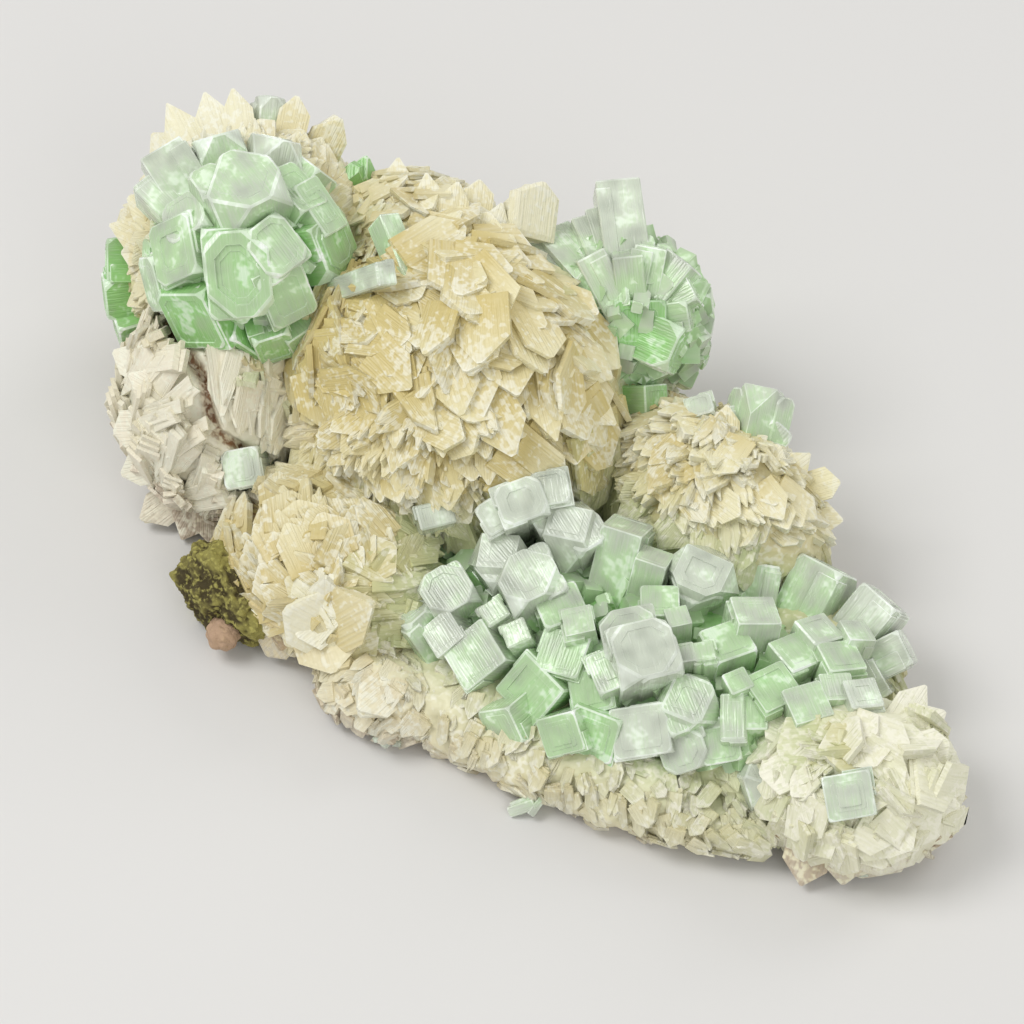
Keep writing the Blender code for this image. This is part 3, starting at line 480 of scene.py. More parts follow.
class Reading:
    """A number that a node gives out, which takes part in sums as a plain number does."""

    def __init__(self, nodes, socket):
        self.nodes = nodes
        self.socket = socket

    def joined(self, operation, *others):
        made = self.nodes.add("ShaderNodeMath", {"operation": operation}, dict(enumerate(others)))
        return Reading(self.nodes, made.outputs[0])

    def __add__(self, other):
        return self.joined("ADD", self, other)

    def __radd__(self, other):
        return self.joined("ADD", other, self)

    def __sub__(self, other):
        return self.joined("SUBTRACT", self, other)

    def __rsub__(self, other):
        return self.joined("SUBTRACT", other, self)

    def __mul__(self, other):
        return self.joined("MULTIPLY", self, other)

    def __rmul__(self, other):
        return self.joined("MULTIPLY", other, self)

    def clamped(self):
        return self.joined("MINIMUM", self.joined("MAXIMUM", self, 0.0), 1.0)


class Finish:
    """A material under construction."""

    def __init__(self, name):
        self.material = bpy.data.materials.new(name)
        self.material.use_nodes = True
        self.tree = self.material.node_tree
        self.tree.nodes.clear()
        self.output = self.tree.nodes.new("ShaderNodeOutputMaterial")

    def add(self, kind, settings, sockets):
        """One node: its settings first, then the values or links of its sockets."""
        made = self.tree.nodes.new(kind)
        for name, value in settings.items():
            setattr(made, name, value)
        for name, value in sockets.items():
            self.feed(made.inputs[name], value)
        return made

    def feed(self, socket, value):
        if isinstance(value, Reading):
            self.tree.links.new(value.socket, socket)
        elif isinstance(value, bpy.types.NodeSocket):
            self.tree.links.new(value, socket)
        else:
            socket.default_value = value

    def shader(self, **sockets):
        named = {name.replace("_", " "): value for name, value in sockets.items()}
        return self.add("ShaderNodeBsdfPrincipled", {}, named).outputs[0]

    def show(self, shader):
        self.feed(self.output.inputs["Surface"], shader)

    def place(self):
        return self.add("ShaderNodeTexCoord", {}, {}).outputs["Object"]

    def lengthwise(self):
        """The piece's own UV map, whose V runs along each blade or crystal."""
        return self.add("ShaderNodeUVMap", {"uv_map": "UVMap"}, {}).outputs[0]

    def attribute(self, name):
        return Reading(self, self.add("ShaderNodeAttribute", {"attribute_name": name}, {}).outputs["Fac"])

    def speckle(self, scale, detail=3.0, where=None, stretch=None):
        """Noise from 0 to 1, with `scale` features to the metre."""
        where = where or self.place()
        if stretch:
            where = self.add("ShaderNodeMapping", {}, {"Vector": where, "Scale": stretch}).outputs[0]
        made = self.add("ShaderNodeTexNoise", {}, {"Vector": where, "Scale": scale, "Detail": detail})
        return Reading(self, made.outputs["Fac"])

    def between(self, factor, low, high):
        made = self.add("ShaderNodeMix", {"data_type": "RGBA"}, {"Factor": factor})
        self.feed(made.inputs[6], low)
        self.feed(made.inputs[7], high)
        return made.outputs[2]

    def stepped(self, value, low, high):
        """0 below `low` and 1 above `high`, smooth between."""
        made = self.add("ShaderNodeMapRange", {"interpolation_type": "SMOOTHSTEP"}, {
            "Value": value, "From Min": low, "From Max": high,
        })
        return Reading(self, made.outputs["Result"])

    def bump(self, height, depth, strength=1.0):
        made = self.add("ShaderNodeBump", {}, {"Height": height, "Distance": depth, "Strength": strength})
        return made.outputs["Normal"]


def apophyllite_finish(look):
    """Glassy crystal: clear at its tips, milky green towards its root, with painted white highlights along its edges,
    and growth stripes.
    """
    made = Finish("apophyllite glass")
    cloud = made.speckle(260.0, 1.0)
    fine = made.speckle(1500.0, 0.0)
    stripes = made.speckle(1.0, 0.0, made.lengthwise(), (40.0, 2.5, 1.0))
    green = made.attribute("green") + made.attribute("tint")
    depth = (green + (cloud - 0.5) * 0.9 + (stripes - 0.5) * 0.3).clamped()
    pale = made.between(made.stepped(depth, 0.0, 0.5), look.clear, look.mint)
    body = made.between(made.stepped(depth, 0.45, 1.0), pale, look.green)
    # Painted highlight: white along the crystal edges and terrace steps, where light would catch them.
    rims = made.stepped(made.attribute("edge"), 0.7, 1.0) * cloud
    # The white is the painted edge highlight plus the crystal's own cloudy white patches.
    white = (rims + made.stepped(fine * 0.25 + cloud * 0.75, 0.54, 0.68) * 0.5).clamped()
    relief = made.bump(stripes, 0.0003, 0.35)
    glass = made.shader(
        Base_Color=look.glass,
        Roughness=0.06 + 0.2 * made.stepped(fine, 0.45, 0.8),
        IOR=look.ior,
        Transmission_Weight=1.0,
        Normal=relief,
    )
    milk = made.shader(
        Base_Color=made.between(white, body, look.rim),
        Roughness=0.04 + 0.12 * fine,
        IOR=look.ior,
        Normal=relief,
    )
    # The white, including its painted edge highlight, also makes the crystal milkier.
    milkiness = (look.milk + depth * 0.22 + white * 0.3 + (cloud - 0.5) * 0.7).clamped()
    made.show(made.add("ShaderNodeMixShader", {}, {0: milkiness, 1: glass, 2: milk}).outputs[0])
    tint = made.add("ShaderNodeVolumeAbsorption", {}, {"Color": look.absorbed, "Density": look.density})
    made.feed(made.output.inputs["Volume"], tint.outputs[0])
    return made.material


def roots_finish(look):
    """The deep green, clouded apophyllite that the crystals of a cluster share at their roots."""
    made = Finish("apophyllite roots")
    cloud = made.speckle(260.0, 3.0)
    made.show(made.shader(
        Base_Color=made.between(made.stepped(cloud, 0.38, 0.68), look.green, look.mint),
        Roughness=0.15 + 0.3 * cloud,
        IOR=look.ior,
        Normal=made.bump(cloud, 0.0008, 0.6),
    ))
    return made.material


def stilbite_finish(look):
    """Pearly cream: golden pools and painted golden shade towards the blade roots; white fibres, white rims and tips
    that are partly painted highlight, white sugary grain with painted glints; green by the apophyllite, pink where it
    is broken.
    """
    made = Finish("stilbite pearl")
    rise = made.attribute("rise")
    tone = made.attribute("tone")
    cloud = made.speckle(160.0, 1.0)
    grain = made.speckle(1100.0, 1.0)
    fibres = made.speckle(1.0, 0.0, made.lengthwise(), (26.0, 1.6, 1.0))
    # Painted shade: the stilbite turns golden towards each blade's root, like shade in the crevices between blades, on
    # top of its own golden pools and tones.
    gold_and_root_shade = (made.attribute("gold") + (cloud - 0.5) * 0.9 + (tone - 0.5) * 0.3 + (0.75 - rise) * 0.8).clamped()
    colour = made.between(gold_and_root_shade, look.cream, look.gold)
    colour = made.between((made.attribute("pink") * (0.35 + cloud)).clamped(), colour, look.pink)
    colour = made.between((made.attribute("moss") * (0.2 + cloud)).clamped(), colour, look.moss)
    # Partly the blades' own pale rims, partly a painted highlight: white along the blade edges and towards the tips,
    # where light would catch.
    crests = made.stepped(made.attribute("edge") * 0.4 + rise * 0.6, 0.7, 1.0) * made.stepped(cloud, 0.35, 0.6)
    # Partly the stilbite's own white sugary grain, partly painted glints on its fine facets.
    sugar_and_glints = made.stepped(grain * 0.7 + cloud * 0.4 + rise * 0.15, 0.62, 0.76) * 0.6
    pale = made.stepped(made.attribute("gold"), 0.25, -0.25)
    # This white holds painted highlights and glints as well as the stilbite's own white fibres, grain and pale domes.
    white = (crests * 0.5 + sugar_and_glints + pale * 0.6 + (fibres - 0.45) * 0.6 + (tone - 0.6) * 0.3).clamped()
    colour = made.between(white, colour, look.white)
    rust = (made.attribute("rust") * made.stepped(grain, 0.35, 0.6)).clamped()
    made.show(made.shader(
        Base_Color=made.between(rust, colour, look.rust),
        Roughness=0.26 + 0.36 * grain,
        Normal=made.bump(fibres * 0.5 + grain * 0.5, 0.00035, 0.8),
    ))
    return made.material


def basalt_finish(look):
    """Weathered olive-brown basalt: dull, pitted and grainy, with mossy yellow on its crests."""
    made = Finish("basalt")
    broad = made.speckle(240.0, 5.0)
    grain = made.speckle(1300.0, 4.0)
    shade = made.between(
        made.stepped(broad + made.attribute("crest") * 0.45, 0.38, 0.72), look.dark, look.olive
    )
    lit = made.between(made.stepped(grain, 0.5, 0.68) * 0.8, shade, look.lichen)
    made.show(made.shader(
        Base_Color=made.between(made.attribute("knob"), lit, look.knob),
        Roughness=0.75 + 0.2 * grain,
        Normal=made.bump(grain * 0.6 + broad * 0.4, 0.0009, 1.0),
    ))
    return made.material


def block(width, depth, height, cuts):
    """A block whose top face is centred on the origin, trimmed by planes, each a point and a normal."""
    made = bmesh.new()
    shape = Matrix.Translation((0, 0, -height / 2)) @ Matrix.Diagonal((width, depth, height, 1))
    bmesh.ops.create_cube(made, size=1, matrix=shape)
    for point, normal in cuts:
        everything = made.verts[:] + made.edges[:] + made.faces[:]
        bmesh.ops.bisect_plane(made, geom=everything, plane_co=point, plane_no=normal, clear_outer=True)
        bmesh.ops.holes_fill(made, edges=[edge for edge in made.edges if edge.is_boundary], sides=0)
    return made


def softened(made, width, segments=1):
    """Bevels every edge of a shape."""
    bmesh.ops.bevel(
        made, geom=made.edges[:], offset=width, segments=segments, affect="EDGES", clamp_overlap=True, profile=0.5
    )


def unwrapped(made, scale):
    """Writes a UV map whose V runs along Z, and whose U runs round or across the shape."""
    layer = made.loops.layers.uv.new("UVMap")
    for face in made.faces:
        top = abs(face.normal.z) > 0.8
        side_on = abs(face.normal.x) > abs(face.normal.y)
        for loop in face.loops:
            co = loop.vert.co
            u = co.x if top or not side_on else co.y
            v = co.y if top else co.z
            loop[layer].uv = (u * scale, v * scale)


def marked(made, **values):
    """Writes a number on every vertex: a constant, or a function of the vertex."""
    for name, value in values.items():
        layer = made.verts.layers.float.new(name)
        for vertex in made.verts:
            vertex[layer] = value(vertex) if callable(value) else value


def shrunk(made, faces, share, step=0.0):
    """Scales each face about its middle inside a border of its own, and moves it along Z."""
    bmesh.ops.inset_individual(made, faces=faces, thickness=0.0, depth=0.0)
    for face in faces:
        middle = face.calc_center_median()
        for vertex in face.verts:
            vertex.co = middle + (vertex.co - middle) * share + Vector((0, 0, step))


def bordered(made, share, smallest):
    """Gives each large face a border. The edge mark is 0 inside the borders and 1 elsewhere."""
    layer = made.verts.layers.float.new("edge")
    large = [face for face in made.faces if face.calc_area() > smallest]
    shrunk(made, large, share)
    for vertex in made.verts:
        vertex[layer] = 1.0
    for face in large:
        for vertex in face.verts:
            vertex[layer] = 0.0


def terraces(made, chance):
    """Steps the top face in or out, one terrace inside another, as such crystals grow."""
    layer = made.verts.layers.float["edge"]
    top = max(made.faces, key=lambda face: face.calc_center_median().z + face.normal.z)
    room = math.sqrt(top.calc_area())
    for _ in range(chance.choice((1, 1, 2))):
        share = chance.uniform(0.74, 0.90)
        step = room * chance.uniform(0.01, 0.035) * chance.choice((-1, 1))
        shrunk(made, [top], share)
        for vertex in top.verts:
            vertex[layer] = 0.85
        shrunk(made, [top], 0.975, step)
        shrunk(made, [top], 0.94)
        for vertex in top.verts:
            vertex[layer] = 0.0


def crystal_shape(side, depth, length, corner, green, seed, bevel, ledges=(1, 1, 2, 3)):
    """One apophyllite crystal, its top centred on the origin: a square prism with cut corners and ledges.

    With a bevel of 0, for small crystals, its edges are sharp and its top is flat.
    """
    chance = random.Random(seed)
    shapes = [(Vector((0, 0, 0)), side, depth, length, corner)]
    for _ in range(chance.choice(ledges)):
        shrink = chance.uniform(0.35, 0.75)
        aside = Vector((chance.choice((-1, 1)) * side, chance.choice((-1, 1)) * depth, 0)) * (1 - shrink) / 2
        drop = chance.uniform(0.15, 1.3)
        out = Vector((aside.x, aside.y, 0)).normalized() * chance.uniform(0.15, 0.6)
        shapes.append((aside + out - Vector((0, 0, drop)), side * shrink, depth * shrink, length - drop, corner * 0.6))
    whole = bpy.data.meshes.new("crystal")
    joined = bmesh.new()
    for where, across, deep, tall, cut in shapes:
        cuts = []
        half = Vector((across / 2, deep / 2))
        for corner_x in (-1, 1):
            for corner_y in (-1, 1):
                own = cut * chance.uniform(0.75, 1.25)
                if own <= 0.02:
                    continue
                slope = math.sin(PYRAMID_TILT) / math.sqrt(2)
                normal = Vector((corner_x * slope, corner_y * slope, math.cos(PYRAMID_TILT)))
                back = min(own, 0.98) * min(half)
                cuts.append((Vector((corner_x * (half.x - back), corner_y * (half.y - back), 0)), normal))
        made = block(across, deep, tall, cuts)
        if bevel:
            softened(made, bevel * chance.uniform(0.7, 1.3))
        bmesh.ops.recalc_face_normals(made, faces=made.faces[:])
        bordered(made, 0.9, across * deep * 0.08)
        if bevel:
            terraces(made, chance)
        bmesh.ops.recalc_face_normals(made, faces=made.faces[:])
        unwrapped(made, 0.1)
        marked(made, green=lambda vertex: green + 0.4 * min(1.0, -vertex.co.z / tall) * (0.5 + green))
        made.transform(Matrix.Translation(where))
        made.to_mesh(whole)
        made.free()
        joined.from_mesh(whole)
    bpy.data.meshes.remove(whole)
    return joined


def stand_on(made, tip, axis, turn):
    """Moves a shape from the origin to its tip, with its Z along the axis and its X turned from ACROSS."""
    flat = (ACROSS - axis * ACROSS.dot(axis)).normalized()
    flat = Matrix.Rotation(math.radians(turn), 3, axis) @ flat
    turned = Matrix((flat, axis.cross(flat), axis)).transposed()
    made.transform(Matrix.Translation(tip) @ turned.to_4x4())


def cut_flat(made):
    """Takes away what lies under the cut that the specimen rests on, and closes the hole."""
    everything = made.verts[:] + made.edges[:] + made.faces[:]
    floor = Vector((0, 0, CUT_CLEARANCE))
    bmesh.ops.bisect_plane(made, geom=everything, plane_co=floor, plane_no=(0, 0, -1), clear_outer=True)
    bmesh.ops.holes_fill(made, edges=[edge for edge in made.edges if edge.is_boundary], sides=0)


def gathered(name, shapes, finish, smooth=False):
    """One object that holds every shape, in the part's frame."""
    whole = bpy.data.meshes.new(name)
    joined = bmesh.new()
    for shape in shapes:
        shape.to_mesh(whole)
        shape.free()
        joined.from_mesh(whole)
    joined.transform(Matrix.Scale(MM, 4) @ Matrix.Translation(-MIDDLE))
    joined.to_mesh(whole)
    joined.free()
    for polygon in whole.polygons:
        polygon.use_smooth = smooth
    whole.materials.append(finish)
    made = bpy.data.objects.new(name, whole)
    bpy.context.scene.collection.objects.link(made)
    return made


def handed_over(piece, slot, *nodes):
    """Attaches a finished piece to what it rides on and hides the solids that it stands for. Its slot, whose finish it
    has, is not used.
    """
    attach(piece, "root")
    if nodes:
        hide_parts(*nodes)


def crystals_of(dome, rows, bevel, seed):
    """The crystals of a table, each on its dome."""
    made = []
    for number, (tip_pixel, root_pixel, side, depth, stand, turn, corner, green) in enumerate(rows):
        tip = seen(dome, tip_pixel, stand)
        if root_pixel is None:
            axis = outward(dome, tip)
            length = stand + CRYSTAL_SINK
        else:
            reach = tip - seen(dome, root_pixel, -CRYSTAL_SINK)
            axis = reach.normalized()
            length = reach.length
        shape = crystal_shape(side, depth, length, corner, green, seed + number, bevel)
        stand_on(shape, tip, axis, turn)
        cut_flat(shape)
        made.append(shape)
    return made


def blade_shape(seed, laths):
    """A unit stilbite blade, its tip at the origin: thin pointed plates, side by side or as a sheaf of laths."""
    chance = random.Random(seed)
    whole = bpy.data.meshes.new("blade")
    joined = bmesh.new()
    plates = chance.choice((3, 4)) if laths else chance.choice((2, 3, 3))
    for number in range(plates):
        share = number / (plates - 1) - 0.5
        if laths:
            wide, thick = chance.uniform(0.42, 0.62), 0.6
            centre = Vector((share * 0.55, chance.uniform(-0.3, 0.3), -abs(share) * chance.uniform(0.1, 0.5)))
            lean = Matrix.Rotation(share * 0.22, 4, "Y") @ Matrix.Rotation(chance.uniform(-0.1, 0.1), 4, "X")
        else:
            wide, thick = 1.0 - 0.16 * number * chance.uniform(0.5, 1.5), 1.0 / plates
            centre = Vector((chance.uniform(-0.06, 0.06), share * (1 - thick), -0.10 * number * chance.random()))
            lean = Matrix.Rotation(chance.uniform(-0.07, 0.07), 4, "Y") @ Matrix.Rotation(share * 0.1, 4, "X")
        shoulder = chance.uniform(0.22, 0.46)
        blunt = chance.uniform(0.02, 0.16) * wide
        lopsided = chance.uniform(-0.12, 0.12) * wide
        cuts = []
        for side in (-1, 1):
            across = Vector((side * wide / 2, 0, -shoulder))
            tip = Vector((side * blunt / 2 + lopsided, 0, 0))
            edge = tip - across
            cuts.append((tip, Vector((side * abs(edge.z), 0, abs(edge.x)))))
        made = block(wide, thick, 1.0, cuts)
        bordered(made, 0.84, 0.7 * wide)
        edge = made.verts.layers.float["edge"]
        for vertex in made.verts:
            if vertex[edge] == 0 and abs(vertex.co.y) > 0.1 * thick:
                vertex.co.y *= 1.25
        bmesh.ops.recalc_face_normals(made, faces=made.faces[:])
        unwrapped(made, 1.0)
        # The rise runs from 0 at the blade's root to 1 at its tip; the stilbite finish paints golden shade and white
        # highlight by it.
        marked(made, rise=lambda vertex: 1.0 + vertex.co.z)
        made.transform(Matrix.Translation(centre) @ lean)
        made.to_mesh(whole)
        made.free()
        joined.from_mesh(whole)
    bpy.data.meshes.remove(whole)
    return joined


def planting_tree():
    """Geometry nodes that put one of several shapes on every point, turned and sized by its attributes."""
    tree = bpy.data.node_groups.new("Planted crystals", "GeometryNodeTree")
    made = {}
    for name, kind, way in (
        ("Points", "NodeSocketGeometry", "INPUT"),
        ("Shapes", "NodeSocketCollection", "INPUT"),
        ("Finish", "NodeSocketMaterial", "INPUT"),
        ("Swell", "NodeSocketFloat", "INPUT"),
        ("Crystals", "NodeSocketGeometry", "OUTPUT"),
    ):
        made[name] = tree.interface.new_socket(name, in_out=way, socket_type=kind)
    made["Swell"].default_value = 1.0

    def node(kind, settings, **links):
        new = tree.nodes.new(kind)
        for name, value in settings.items():
            setattr(new, name, value)
        for name, value in links.items():
            socket = new.inputs[name.replace("_", " ")]
            if isinstance(value, bpy.types.NodeSocket):
                tree.links.new(value, socket)
            else:
                socket.default_value = value
        return new

    def named(name, kind):
        return node("GeometryNodeInputNamedAttribute", {"data_type": kind}, Name=name).outputs["Attribute"]

    entry = tree.nodes.new("NodeGroupInput")
    shapes = node("GeometryNodeCollectionInfo", {}, Collection=entry.outputs["Shapes"])
    shapes.inputs["Separate Children"].default_value = True
    turn = node("FunctionNodeAxesToRotation", {"primary_axis": "Z", "secondary_axis": "X"})
    tree.links.new(named("axis", "FLOAT_VECTOR"), turn.inputs[0])
    tree.links.new(named("across", "FLOAT_VECTOR"), turn.inputs[1])
    swell = node("ShaderNodeVectorMath", {"operation": "SCALE"}, Scale=entry.outputs["Swell"])
    tree.links.new(named("size", "FLOAT_VECTOR"), swell.inputs[0])
    planted = node(
        "GeometryNodeInstanceOnPoints", {},
        Points=entry.outputs["Points"], Instance=shapes.outputs[0], Pick_Instance=True,
        Instance_Index=named("kind", "INT"), Rotation=turn.outputs[0], Scale=swell.outputs[0],
    )
    whole = node("GeometryNodeRealizeInstances", {}, Geometry=planted.outputs[0])
    finished = node("GeometryNodeSetMaterial", {}, Geometry=whole.outputs[0], Material=entry.outputs["Finish"])
    leave = tree.nodes.new("NodeGroupOutput")
    tree.links.new(finished.outputs[0], leave.inputs["Crystals"])
    return tree, {name: socket.identifier for name, socket in made.items()}


def planted(name, places, shapes, finish, marks):
    """One mesh with a crystal on every place. A place holds its point, axis, across, size, kind and marks."""
    points = bpy.data.meshes.new(name + " points")
    points.from_pydata([to_part(place["point"]) for place in places], [], [])
    for key, kind in (("axis", "FLOAT_VECTOR"), ("across", "FLOAT_VECTOR"), ("size", "FLOAT_VECTOR"), ("kind", "INT")):
        layer = points.attributes.new(key, kind, "POINT")
        for number, place in enumerate(places):
            if kind == "INT":
                layer.data[number].value = place[key]
            else:
                layer.data[number].vector = place[key]
    for key in marks:
        layer = points.attributes.new(key, "FLOAT", "POINT")
        for number, place in enumerate(places):
            layer.data[number].value = place[key]
    kinds = bpy.data.collections.new(name + " shapes")
    for number, shape in enumerate(shapes):
        mesh = bpy.data.meshes.new(f"{name} shape {number:02d}")
        shape.to_mesh(mesh)
        shape.free()
        kinds.objects.link(bpy.data.objects.new(mesh.name, mesh))
    seedbed = bpy.data.objects.new(name + " seedbed", points)
    bpy.context.scene.collection.objects.link(seedbed)
    tree, sockets = planting_tree()
    grow = seedbed.modifiers.new("Grow", "NODES")
    grow.node_group = tree
    grow[sockets["Shapes"]] = kinds
    grow[sockets["Finish"]] = finish
    grow[sockets["Swell"]] = MM
    graph = bpy.context.evaluated_depsgraph_get()
    mesh = bpy.data.meshes.new_from_object(seedbed.evaluated_get(graph), depsgraph=graph)
    mesh.name = name
    bpy.data.objects.remove(seedbed)
    for helper in list(kinds.objects):
        bpy.data.objects.remove(helper)
    bpy.data.collections.remove(kinds)
    bpy.data.node_groups.remove(tree)
    made = bpy.data.objects.new(name, mesh)
    bpy.context.scene.collection.objects.link(made)
    return made


def trimmed_flat(piece):
    """Cuts a planted piece off at the specimen's cut, closing each crystal that the cut crosses."""
    made = bmesh.new()
    made.from_mesh(piece.data)
    low = [face for face in made.faces if min(vertex.co.z for vertex in face.verts) < 0]
    everything = {part for face in low for part in [face] + list(face.verts) + list(face.edges)}
    floor = Vector((0, 0, CUT_CLEARANCE * MM))
    bmesh.ops.bisect_plane(made, geom=list(everything), plane_co=floor, plane_no=(0, 0, -1), clear_outer=True)
    bmesh.ops.holes_fill(made, edges=[edge for edge in made.edges if edge.is_boundary], sides=0)
    made.to_mesh(piece.data)
    made.free()


def smoothstep(value, low, high):
    share = min(1.0, max(0.0, (value - low) / (high - low)))
    return share * share * (3 - 2 * share)


def crack_line():
    dome, pixels = CRACK
    return [seen(dome, pixel) for pixel in pixels]


def off_crack(point, line):
    """How far a point lies to the side of the crack as the viewer sees it, in millimetres."""
    nearest = math.inf
    for start, end in zip(line, line[1:]):
        span = end - start
        way = point - start
        depth = way.dot(TOWARDS_VIEWER)
        if abs(depth) > CRACK_REACH:
            continue
        way -= TOWARDS_VIEWER * depth
        span -= TOWARDS_VIEWER * span.dot(TOWARDS_VIEWER)
        share = min(1.0, max(0.0, way.dot(span) / span.length_squared))
        nearest = min(nearest, (way - span * share).length)
    return nearest


def tints(point, line, pools):
    """How golden, pink, mossy and rusty the stilbite is at a point, each from 0 to 1."""
    shares = {name: math.exp(9 * min(0.3, inside_depth(name, point))) for name in WARMTH}
    whole = sum(shares.values())
    gold = sum(share * WARMTH[name][0] for name, share in shares.items()) / whole
    pink = sum(share * WARMTH[name][1] for name, share in shares.items()) / whole
    for middle, reach, strength in pools:
        gold += strength * (1 - smoothstep((point - middle).length, reach * 0.4, reach))
    moss = max(smoothstep(inside_depth(cluster, point), -reach, 0.0) for cluster, reach in MOSS_REACH.items())
    low = 1 - smoothstep(point.z, 1.0, 5.0)
    cleft = 1 - smoothstep(off_crack(point, line), 0.35, CRACK_WIDTH)
    rough = noise.noise(point / 3.0) * 0.5
    return {
        "gold": gold + 0.4 * cleft,
        "pink": min(1.0, pink + 0.35 * low),
        "moss": moss,
        "rust": max(cleft, (1 - smoothstep(point.z, 0.4, RUST_HEIGHT)) * (0.55 + rough)),
    }


def blade_place(tip, axis, across, size, laths, chance, line, pools):
    """Where one blade is planted, which of the shapes it has and its marks."""
    return {
        "point": tip, "axis": axis, "across": across, "size": size,
        "kind": BLADE_KINDS + chance.randrange(LATH_KINDS) if laths else chance.randrange(BLADE_KINDS),
        "tone": chance.random(), **tints(tip, line, pools),
    }


def picked_blades(line, pools):
    """Places for the blades that the picture shows one by one."""
    chance = random.Random(3)
    made = []
    for dome, tip_pixel, root_pixel, width, thickness, stand in BLADES:
        tip = seen(dome, tip_pixel, stand)
        reach = tip - seen(dome, root_pixel, -2.0)
        axis = reach.normalized()
        across = axis.cross(outward(dome, tip) * 0.5 + TOWARDS_VIEWER * 0.5).normalized()
        made.append(blade_place(tip, axis, across, (width, thickness, reach.length), False, chance, line, pools))
    return made


def spray_places(row, seed, taken, line, pools):
    """Places for a dome's spray of blades, which lean away from the spray's origin like shingles."""
    dome, window, origin_pixel, spacing, widths, lengths, thickness, leans, stands, upright, laths = row
    origin = seen(dome, origin_pixel) if origin_pixel else Vector(DOMES[dome][0]) + Vector((0, 0, 40))
    made = []
    for point, normal, chance in around(dome, spacing, 0.0, seed):
        if any(inside_depth(other, point) > 0.03 for other in CRUST_DOMES if other != dome):
            continue
        if any(inside_depth(other, point) > -0.02 for other in CLUSTER_DOMES) or point.z < 0.8:
            continue
        pixel = pixel_of(point)
        if window and not in_window(pixel, window) or any(in_window(pixel, other) for other in taken):
            continue
        if covers_crystals(point, pixel):
            continue
        away = point - origin
        away = (away - normal * away.dot(normal)).normalized()
        away = Matrix.Rotation(noise.noise(point / 9.0) * 1.5 + chance.gauss(0, 0.25), 3, normal) @ away
        stands_up = chance.random() < upright
        lean = math.radians(chance.uniform(25, 50) if stands_up else chance.uniform(*leans))
        axis = (normal * math.cos(lean) + away * math.sin(lean)).normalized()
        face = (normal - axis * normal.dot(axis)).normalized()
        face = Matrix.Rotation(chance.gauss(0, 0.9 if stands_up else 0.28), 3, axis) @ face
        tip = point + away * chance.uniform(0.5, 1.5) + normal * chance.uniform(*stands)
        length = chance.uniform(*lengths)
        if any(off_crack(tip - axis * length * share, line) < CRACK_WIDTH * 1.25 for share in (0, 0.25, 0.5, 0.75, 1)):
            continue
        size = (chance.uniform(*widths), thickness * chance.uniform(0.7, 1.3), length)
        bundled = chance.random() < laths
        made.append(blade_place(tip, axis, axis.cross(face).normalized(), size, bundled, chance, line, pools))
    return made


def kept_inside(places, margin):
    """Moves each place along the part's axes until its tip lies in the solids' box."""
    low, high = (Vector(corner) / MM for corner in CAD_BOX)
    for place in places:
        tip = place["point"] - MIDDLE
        for axis in range(3):
            tip[axis] = min(high[axis] - margin, max(low[axis] + margin, tip[axis]))
        place["point"] = tip + MIDDLE
    return places


def clamped(piece):
    """Holds a piece's outermost points to the solids' box."""
    low, high = CAD_BOX
    for vertex in piece.data.vertices:
        for axis in range(3):
            vertex.co[axis] = min(high[axis], max(low[axis], vertex.co[axis]))


def skinned(name, domes, voxel, sink):
    """Domes run together into one skin, `sink` below their surface."""
    shapes = []
    for dome in domes:
        made = bmesh.new()
        bmesh.ops.create_icosphere(made, subdivisions=5, radius=1, matrix=dome_frame(dome, -sink))
        shapes.append(made)
    skin = gathered(name, shapes, None, smooth=True)
    remesh = skin.modifiers.new("one skin", "REMESH")
    remesh.mode = "VOXEL"
    remesh.voxel_size = voxel * MM
    smooth = skin.modifiers.new("soft valleys", "SMOOTH")
    smooth.iterations = 3
    graph = bpy.context.evaluated_depsgraph_get()
    mesh = bpy.data.meshes.new_from_object(skin.evaluated_get(graph), depsgraph=graph)
    skin.modifiers.clear()
    skin.data = mesh
    return skin


def roughened(skin, layers, finish, marks_at=None, push_at=None):
    """Pushes a skin in and out by noise, cuts it flat, and writes its marks."""
    made = bmesh.new()
    made.from_mesh(skin.data)
    made.normal_update()
    pushes = []
    for vertex in made.verts:
        place = vertex.co / MM + MIDDLE
        push = sum(depth * noise.noise(place / size) for size, depth in layers)
        pushes.append(push + (push_at(place) if push_at else 0.0))
    for vertex, push in zip(made.verts, pushes):
        vertex.co += vertex.normal * push * MM
    everything = made.verts[:] + made.edges[:] + made.faces[:]
    floor = Vector((0, 0, CUT_CLEARANCE * MM))
    bmesh.ops.bisect_plane(made, geom=everything, plane_co=floor, plane_no=(0, 0, -1), clear_outer=True)
    bmesh.ops.holes_fill(made, edges=[edge for edge in made.edges if edge.is_boundary], sides=0)
    bmesh.ops.triangulate(made, faces=[face for face in made.faces if len(face.verts) > 4])
    if marks_at:
        values = [marks_at(vertex.co / MM + MIDDLE) for vertex in made.verts]
        for name in values[0]:
            layer = made.verts.layers.float.new(name)
            for vertex, value in zip(made.verts, values):
                vertex[layer] = value[name]
    made.to_mesh(skin.data)
    made.free()
    skin.data.materials.clear()
    skin.data.materials.append(finish)
    for polygon in skin.data.polygons:
        polygon.use_smooth = True


def colour(name, text, default):
    return bpy.props.FloatVectorProperty(
        name=name, description=text, default=default, subtype="COLOR", size=4, min=0.0, max=1.0
    )


